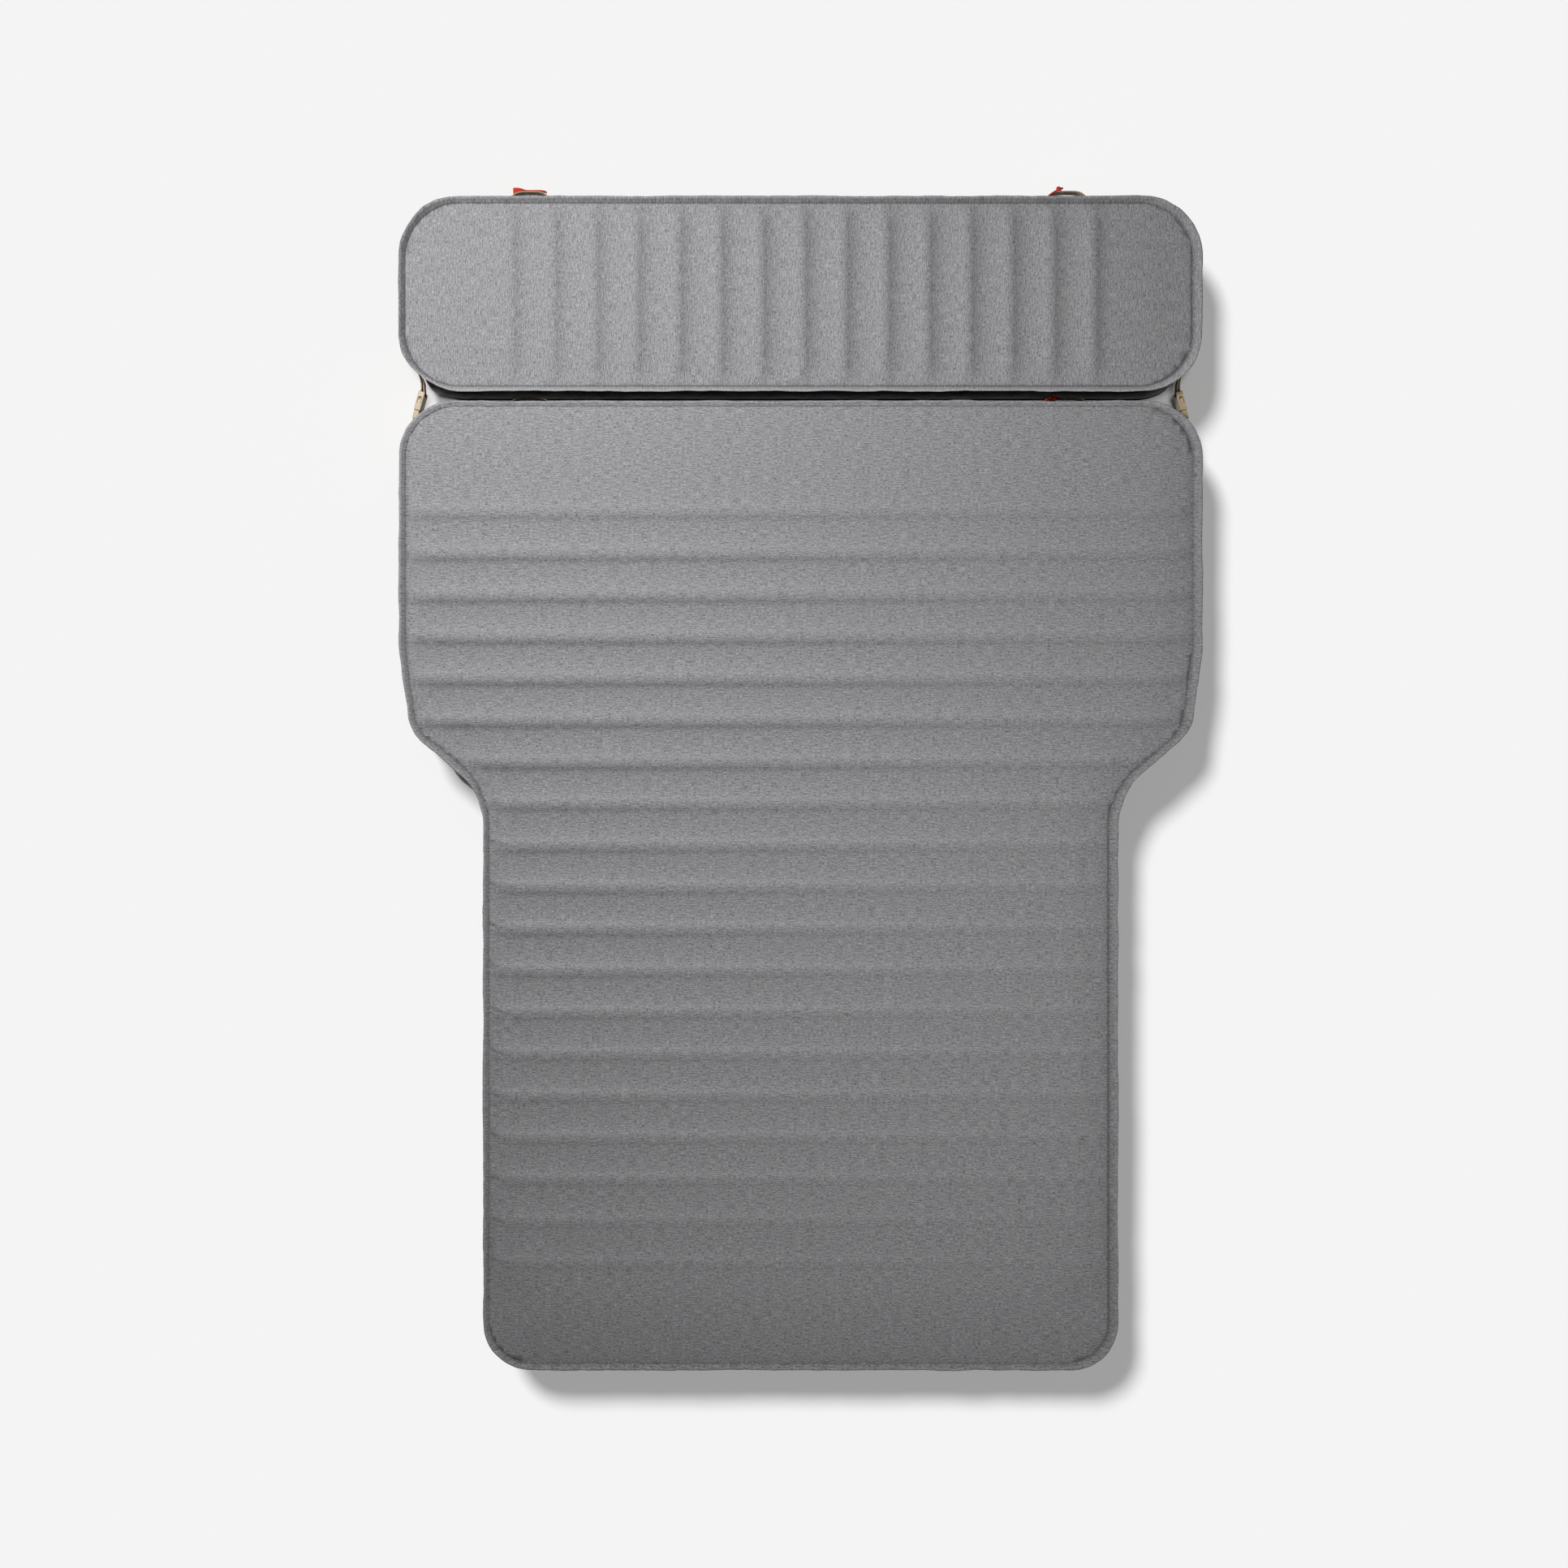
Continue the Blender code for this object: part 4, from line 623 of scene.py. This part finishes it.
# From the weld outwards: the share of the width left to the edge, the height, and how freely it waves.
LIP_LEVELS = (
    (1.0, 0.0872, 0.0), (0.84, 0.0884, 0.1), (0.62, 0.0910, 0.3), (0.32, 0.0957, 0.7), (0.0, 0.1008, 1.0),
)
LIP_SPACING = 0.007
WELD_LEVEL = 0.0848
WELD_GAP = 0.0003
LIP_ROOT = 0.0872
LIP_THICKNESS = 0.0024
LIP_WAVE = 0.0021
LIP_WANDER = 0.0018
HEAD_LIP_DRAWN_IN = 0.0034
MAIN_LIP_FLATTENED = 0.60


def knit_group():
    """Heathered knit: short light and dark flecks along one direction, and fine wales."""
    group = bpy.data.node_groups.new("heathered_knit", "ShaderNodeTree")
    group.interface.new_socket("Turn", in_out="INPUT", socket_type="NodeSocketFloat")
    group.interface.new_socket("Fleck", in_out="OUTPUT", socket_type="NodeSocketFloat")
    group.interface.new_socket("Height", in_out="OUTPUT", socket_type="NodeSocketFloat")
    given = group.nodes.new("NodeGroupInput")
    made = group.nodes.new("NodeGroupOutput")
    place = node(group, "TexCoord").outputs["Object"]
    turned = node(group, "VectorRotate", {"Vector": place, "Angle": given.outputs["Turn"]}).outputs["Vector"]

    def per_metre(along, across):
        return node(group, "VectorMath", {0: turned, 1: (along, across, 0)}, operation="MULTIPLY").outputs[0]

    def speckle(along, across):
        inputs = {"Vector": per_metre(along, across), "Scale": 1.0, "Detail": 1.0}
        return node(group, "TexNoise", inputs, noise_dimensions="2D").outputs["Fac"]

    fleck = speckle(225.0, 660.0)
    streak = speckle(60.0, 600.0)
    wales = node(group, "SeparateXYZ", {"Vector": per_metre(700.0, 900.0)})
    rib = math_node(group, "PINGPONG", wales.outputs["X"], 0.5)
    stitch = math_node(group, "PINGPONG", wales.outputs["Y"], 0.5)
    heather = math_node(group, "MULTIPLY_ADD", math_node(group, "SUBTRACT", streak, 0.5), 0.70, fleck)
    height = math_node(group, "ADD", math_node(group, "ADD", stitch, rib), fleck)
    group.links.new(heather, made.inputs["Fleck"])
    group.links.new(height, made.inputs["Height"])
    return group


heathered_knit = knit_group()


def knit_material(name, turn, contrast):
    """The knit, with painted highlight and shade added where the cloth's own "painted_shading" value says so.
    """
    material, shader = new_material(name, 0.9, 0.15)
    tree = material.node_tree
    knit = node(tree, "Group", {"Turn": turn}, node_tree=heathered_knit)
    uneven = math_node(tree, "SUBTRACT", knit.outputs["Fleck"], 0.5)
    fleck = math_node(tree, "MULTIPLY_ADD", uneven, contrast, 0.5)
    # Painted highlight and shade, read from the cloth's own layer.
    painted_shading = node(tree, "Attribute", attribute_name="painted_shading").outputs["Fac"]
    share = math_node(tree, "ADD", fleck, painted_shading, clamp=True)
    tree.links.new(colour_between(tree, share, DARK_YARN, LIGHT_YARN), shader.inputs["Base Color"])
    add_bump(tree, shader, knit.outputs["Height"], 0.0004, 0.6)
    return material


grey_knit = {
    "head": knit_material("head_grey_knit", math.radians(92), 1.35),
    "main": knit_material("main_grey_knit", math.radians(2), 1.33),
}

for pad in ("head", "main"):
    bm, points, outward, along = rounded_sheet(PAD_CORNERS[pad], LIP_SPACING)
    place = bm.verts.layers.int["place"]
    painted_shading = bm.verts.layers.float.new("painted_shading")
    sides = np.clip([outward[:, 0], outward[:, 1], -outward[:, 0], -outward[:, 1]], 0, 1)
    painted_light = (np.array(SIDE_PAINTED_LIGHT[pad])[:, None] * sides).sum(0)
    shade = (np.array(SEAM_SHADE[pad])[:, None] * sides).sum(0)
    turned_up = 1 - MAIN_LIP_FLATTENED * sides[1] * (pad == "main")
    drawn_in = HEAD_LIP_DRAWN_IN * bared(pad, points) * (pad == "head")
    wave = waves(along / 0.045, 0.3, 1.7) + 0.6 * waves(along / 0.015, 0.8, 4.2)
    wander = waves(along / 0.05, 5.3, 0.2) + 0.4 * waves(along / 0.014, 2.1, 8.3)
    width = seam_inset(pad, points, outward)
    edges = list(bm.edges)
    bmesh.ops.delete(bm, geom=bm.faces[:], context="FACES_ONLY")
    lay_ring(bm, bm.verts, points, outward, width + WELD_GAP, WELD_LEVEL)
    # The weld ring gets each side's painted light and the full painted shadow of the seam. The rings above
    # keep the painted light, while the seam's painted shadow fades out towards the lip's edge.
    for vert in bm.verts:
        vert[painted_shading] = painted_light[vert[place]] - shade[vert[place]]
    for share, height, free in LIP_LEVELS:
        inset = width * share - (wander * LIP_WANDER - drawn_in) * free
        level = LIP_ROOT + (height - LIP_ROOT) * turned_up + wave * LIP_WAVE * free
        edges = raise_ring(bm, edges, points, outward, inset, level)
        for vert in (v for edge in edges for v in edge.verts):
            vert[painted_shading] = painted_light[vert[place]] - shade[vert[place]] * (1 - free) ** 6
    lip = keep_mesh(pad + "_lip", bm, [grey_knit[pad]])
    thicken(lip, LIP_THICKNESS, -1)
    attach(lip, pad + "_pad")
    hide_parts(pad + "_edge_flange")


# Tops. Each pad's top is knit cloth bonded to the foam, crowned from its edge weld and creased along channels
# that run across the bed on the main pad and along it on the head pad. It puckers where a channel meets the
# edge. Places across a channel are counted to the foot on the main pad and to the right on the head pad.
# The axis that crosses a pad's channels, where their seams lie on it, and the sign of the count along it.
CREASES = {
    "main": (1, [0.43205 - 0.0697 * i for i in range(19)], -1),
    "head": (0, [-0.4746 + 0.0695 * i for i in range(15)], 1),
}
PITCH = 0.0697
CHANNEL_START = -0.037
CHANNEL_END = 0.0327
# Where the cloth is divided, ahead of each seam and behind it.
CREASE_STEPS = (
    -0.032, -0.0270, -0.0220, -0.0180, -0.0140, -0.0110, -0.0080, -0.0050, -0.0025, 0, 0.0025, 0.0050, 0.0085,
    0.0135, 0.0200, 0.0270,
)
# The cloth's slope across a channel, and its painted light: a painted highlight on the crest ahead of each
# seam and painted shade down into it.
SLOPES = {
    "main": (
        (-0.037, 3.4), (-0.028, 4.5), (-0.0235, 7.0), (-0.020, 15.0), (-0.0155, 6.0), (-0.011, 0.0),
        (-0.006, -6.5), (-0.001, -13.5), (0.0035, -11.0), (0.008, -3.6), (0.018, -1.2), (0.0327, 0.8),
    ),
    "head": (
        (-0.037, 6.5), (-0.026, 7.5), (-0.020, 10.5), (-0.0155, 6.0), (-0.011, 0.0), (-0.006, -6.5),
        (-0.0005, -14.0), (0.0045, -10.5), (0.010, -6.5), (0.020, 0.0), (0.0327, 4.5),
    ),
}
CREST_PAINTED_LIGHT = (
    (-0.037, 0.003), (-0.027, 0.014), (-0.022, 0.052), (-0.018, 0.026), (-0.014, -0.010), (-0.011, -0.022),
    (-0.0055, -0.012), (0.0, -0.008), (0.0025, 0.0), (0.0085, 0.0), (0.0135, -0.010), (0.020, -0.010),
    (0.0327, 0.0),
)
# Depth of the creases from left to right, on the main pad's wide and narrow parts and on the head pad.
WIDE_RELIEF = ((-0.5, 0.0075), (-0.1, 0.0072), (0.4, 0.0045))
NARROW_RELIEF = ((-0.4, 0.0070), (-0.1, 0.0050), (0.35, 0.0018))
HEAD_RELIEF = ((-0.3, 0.0105), (0.1, 0.0100), (0.4, 0.0080))
# Places along the main pad, and what the creases' depth and their painted highlight and shade are
# multiplied by there.
ALONG_MAIN = (
    (-0.83, 0.24, 1.30), (-0.75, 0.28, 1.60), (-0.68, 0.42, 2.00), (-0.54, 0.55, 2.40), (-0.40, 0.72, 2.60),
    (-0.27, 0.98, 2.80), (-0.06, 1.10, 2.60), (0.0, 1.38, 2.20), (0.36, 1.42, 2.00), (0.43, 1.10, 1.60),
)
OUTLINE_SPACING = 0.010
ALONG_SPACING = 0.016
ACROSS_SPACING = 0.012
CREASED_HALF = 0.045
TOP_GAP = 0.0004
TOP_EDGE_LEVEL = 0.0858
EDGE_ROLL = 0.0020
CROWN_RISE = 0.0127
CROWN_REACH = 0.085
# Beyond the last crease the crown rises more gently, on the main pad above all.
GENTLE_REACH = 0.05
GENTLE_SHARES = {"main": 1.0, "head": 0.15}
SEAM_WANDER = 0.0007
SEAM_GROOVE = 0.0003
PUCKER = 0.0011
SWELL = 0.0008
TOP_THICKNESS = 0.0012
# The narrow part's channels end on the left in small slanting tucks, from this place to the foot, each
# darkened along its line with painted shade.
TUCKS_START = -0.12
TUCK_DEPTH = 0.0018
TUCK_SHADE = 0.45
TUCK_WIDTH = 0.0026
TUCK_LENGTH = 0.034
TUCK_COLUMNS = [-0.526 + 0.0055 * i for i in range(6)]


def between(value, table):
    """The second column of a table at this value of the first, with straight runs between its rows."""
    return np.interp(value, *zip(*table))


def from_ring(co, ring, along):
    """Each point's distance from the ring, and the place along the ring that is nearest to it."""
    run = np.roll(ring, -1, 0) - ring
    length = np.linalg.norm(run, axis=1)
    depth = []
    where = []
    for part in np.array_split(co, len(co) // 4000 + 1):
        apart = part[:, None] - ring[None]
        share = np.clip((apart * run).sum(2) / length ** 2, 0, 1)
        gap = np.linalg.norm(apart - share[..., None] * run, axis=2)
        near = gap.argmin(1)
        depth.append(gap.min(1))
        where.append(along[near] + share[np.arange(len(part)), near] * length[near])
    return np.concatenate(depth), np.concatenate(where)


def divided_top(pad):
    """The flat top inside its weld, divided most finely beside the creases, its points, their distances from
    the weld, and their places along it."""
    bm, points, outward, along = rounded_sheet(PAD_CORNERS[pad], OUTLINE_SPACING)
    inset = seam_inset(pad, points, outward) + TOP_GAP
    lay_ring(bm, bm.verts, points, outward, inset, 0)
    axis, creases, away = CREASES[pad]
    cuts = [(axis, crease + away * step) for crease in creases for step in CREASE_STEPS]
    reach = np.abs(points).max(0)
    for i, spacing in ((axis, ALONG_SPACING), (1 - axis, ACROSS_SPACING)):
        count = int(2 * reach[i] / spacing)
        lines = [-reach[i] + (k + 0.5) * spacing for k in range(count + 1)]
        if i == axis:
            lines = [c for c in lines if min(abs(c - crease) for crease in creases) > CREASED_HALF]
        cuts += [(i, c) for c in lines]
    if pad == "main":
        cuts += [(0, c) for c in TUCK_COLUMNS]
    for i, offset in cuts:
        normal = (1, 0, 0) if i == 0 else (0, 1, 0)
        bmesh.ops.bisect_plane(bm, geom=bm.verts[:] + bm.edges[:] + bm.faces[:], dist=1e-5,
                               plane_co=[c * offset for c in normal], plane_no=normal)
    co = np.array([v.co[:2] for v in bm.verts])
    depth, where = from_ring(co, points - outward * inset[:, None], along)
    return bm, co, depth, where


def channel_profile(pad):
    """Places across a channel and the cloth's height there, from -1 at its lowest to 0 at its highest."""
    places = np.linspace(CHANNEL_START, CHANNEL_END, 400)
    slope = between(places, SLOPES[pad])
    slope -= slope.mean()
    rise = np.concatenate([[0], np.cumsum((slope[1:] + slope[:-1]) / 2 * np.diff(places))])
    return places, (rise - rise.max()) / (rise.max() - rise.min())


def shaped_top(pad):
    """The top with its crown, creases and puckers. Its "painted_shading" layer holds the painted highlight
    and shade along the creases and the painted shade in the tucks.
    """
    bm, co, depth, where = divided_top(pad)
    x, y = co.T
    axis, creases, away = CREASES[pad]
    places, rise = channel_profile(pad)
    lowest = places[rise.argmin()]
    nearest = np.abs(co[:, axis][:, None] - np.array(creases)[None]).argmin(1)
    offset = (co[:, axis] - np.array(creases)[nearest]) * away
    offset += SEAM_WANDER * waves(co[:, 1 - axis] / 0.11, nearest * 3.7, 2.6)
    offset = np.where((nearest == len(creases) - 1) & (offset > lowest), lowest, offset)
    offset = np.where(offset > CHANNEL_END, offset - PITCH, offset)

    relief = between(x, HEAD_RELIEF)
    if pad == "main":
        narrow = between(x, NARROW_RELIEF)
        relief = narrow + (between(x, WIDE_RELIEF) - narrow) * ease(ramp(y, -0.3, 0.5))
    strength = np.interp(relief, (0.0018, 0.0075), (0.45, 1.0))
    if pad == "main":
        stations, deeper, paler = zip(*ALONG_MAIN)
        relief *= np.interp(y, stations, deeper)
        strength *= np.interp(y, stations, paler)
    crease = np.interp(offset, places, rise) * relief - SEAM_GROOVE * np.exp(-(offset / 0.0030) ** 2)
    fade = ease(depth / 0.012) * (0.45 + 0.55 * ease((depth - 0.006) / 0.04))

    gentle = ease((co[:, axis] - creases[-1]) * away / 0.06) * GENTLE_SHARES[pad]
    crown = 1 - (1 - ramp(depth, 0, CROWN_REACH + GENTLE_REACH * gentle)) ** (2.5 - 0.7 * gentle)
    pucker = waves(where / 0.016, depth / 0.030, 7.7) + 0.7 * waves(where / 0.008, depth / 0.018, 2.2)
    swell = waves(x / 0.16, y / 0.16, 0.4) + 0.5 * waves(x / 0.05, y / 0.05, 9.1)
    height = TOP_EDGE_LEVEL + EDGE_ROLL * ease(depth / 0.004) + CROWN_RISE * crown
    height += crease * fade
    height += pucker * PUCKER * np.exp(-depth / 0.018) * ease(depth / 0.006)
    height += swell * SWELL * ease(depth / 0.05)
    # Painted highlight on each crest and painted shade down into each seam, scaled with the creases' depth.
    painted_light = between(offset, CREST_PAINTED_LIGHT) * strength * ease(depth / 0.02)

    for number, seam in enumerate(creases):
        if pad == "main" and seam < TUCKS_START:
            start = seam + 0.019 + 0.006 * noise.noise((number * 1.7, 4.4, 0.3))
            lean = 0.30 + 0.20 * noise.noise((number * 2.3, 1.1, 6.0))
            tuck = np.exp(-((y - start + lean * depth) / TUCK_WIDTH) ** 2) * ease(depth / 0.004)
            tuck *= ramp(depth, TUCK_LENGTH, -TUCK_LENGTH) * (x < -0.3)
            height -= TUCK_DEPTH * tuck
            # Painted shade along the tuck's line.
            painted_light -= TUCK_SHADE * tuck

    painted_shading = bm.verts.layers.float.new("painted_shading")
    for vert, z, share in zip(bm.verts, height, painted_light):
        vert.co.z = z
        vert[painted_shading] = share
    return bm


for pad in ("head", "main"):
    top = keep_mesh(pad + "_top", shaped_top(pad), [grey_knit[pad]])
    thicken(top, TOP_THICKNESS, -1)
    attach(top, pad + "_pad")
    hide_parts(pad + "_top_cover")


# Buckles. The side-release buckles are moulded in tan acetal with a fine spark-eroded grain, and keep the
# exact shape of the model's own sockets, plugs and latch arms.
def moulded_material(name, low, high, roughness, grain_depth):
    """A moulded plastic, faintly clouded, with a fine grain."""
    material, shader = new_material(name, roughness)
    tree = material.node_tree
    place = node(tree, "TexCoord").outputs["Object"]
    cloud = node(tree, "TexNoise", {"Vector": place, "Scale": 60.0, "Detail": 3.0}).outputs["Fac"]
    grain = node(tree, "TexNoise", {"Vector": place, "Scale": 2600.0, "Detail": 2.0}).outputs["Fac"]
    tree.links.new(colour_between(tree, cloud, low, high), shader.inputs["Base Color"])
    tree.links.new(math_node(tree, "MULTIPLY_ADD", grain, 0.2, roughness - 0.1), shader.inputs["Roughness"])
    add_bump(tree, shader, grain, grain_depth)
    return material


tan_acetal = moulded_material("tan_acetal", (0.54, 0.41, 0.26), (0.60, 0.46, 0.30), 0.42, 0.00008)
for side in ("left", "right"):
    for part in ("socket", "plug", "arm_upper", "arm_lower"):
        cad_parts[f"{side}_buckle_{part}"].material_slots[0].material = tan_acetal


# Valves. Each pad's twist valve has a black nylon seat welded to the wall, a fluted collar, a hinged cap and
# a thin silicone flap inside, all in the model's own shape.
black_nylon = moulded_material("black_nylon", (0.016, 0.016, 0.017), (0.024, 0.024, 0.025), 0.45, 0.00008)
silicone = moulded_material("black_silicone", (0.020, 0.020, 0.022), (0.030, 0.030, 0.032), 0.6, 0.00003)
for pad in ("main", "head"):
    for part in ("seat", "collar", "cap"):
        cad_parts[f"{pad}_valve_{part}"].material_slots[0].material = black_nylon
    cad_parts[f"{pad}_valve_flap"].material_slots[0].material = silicone
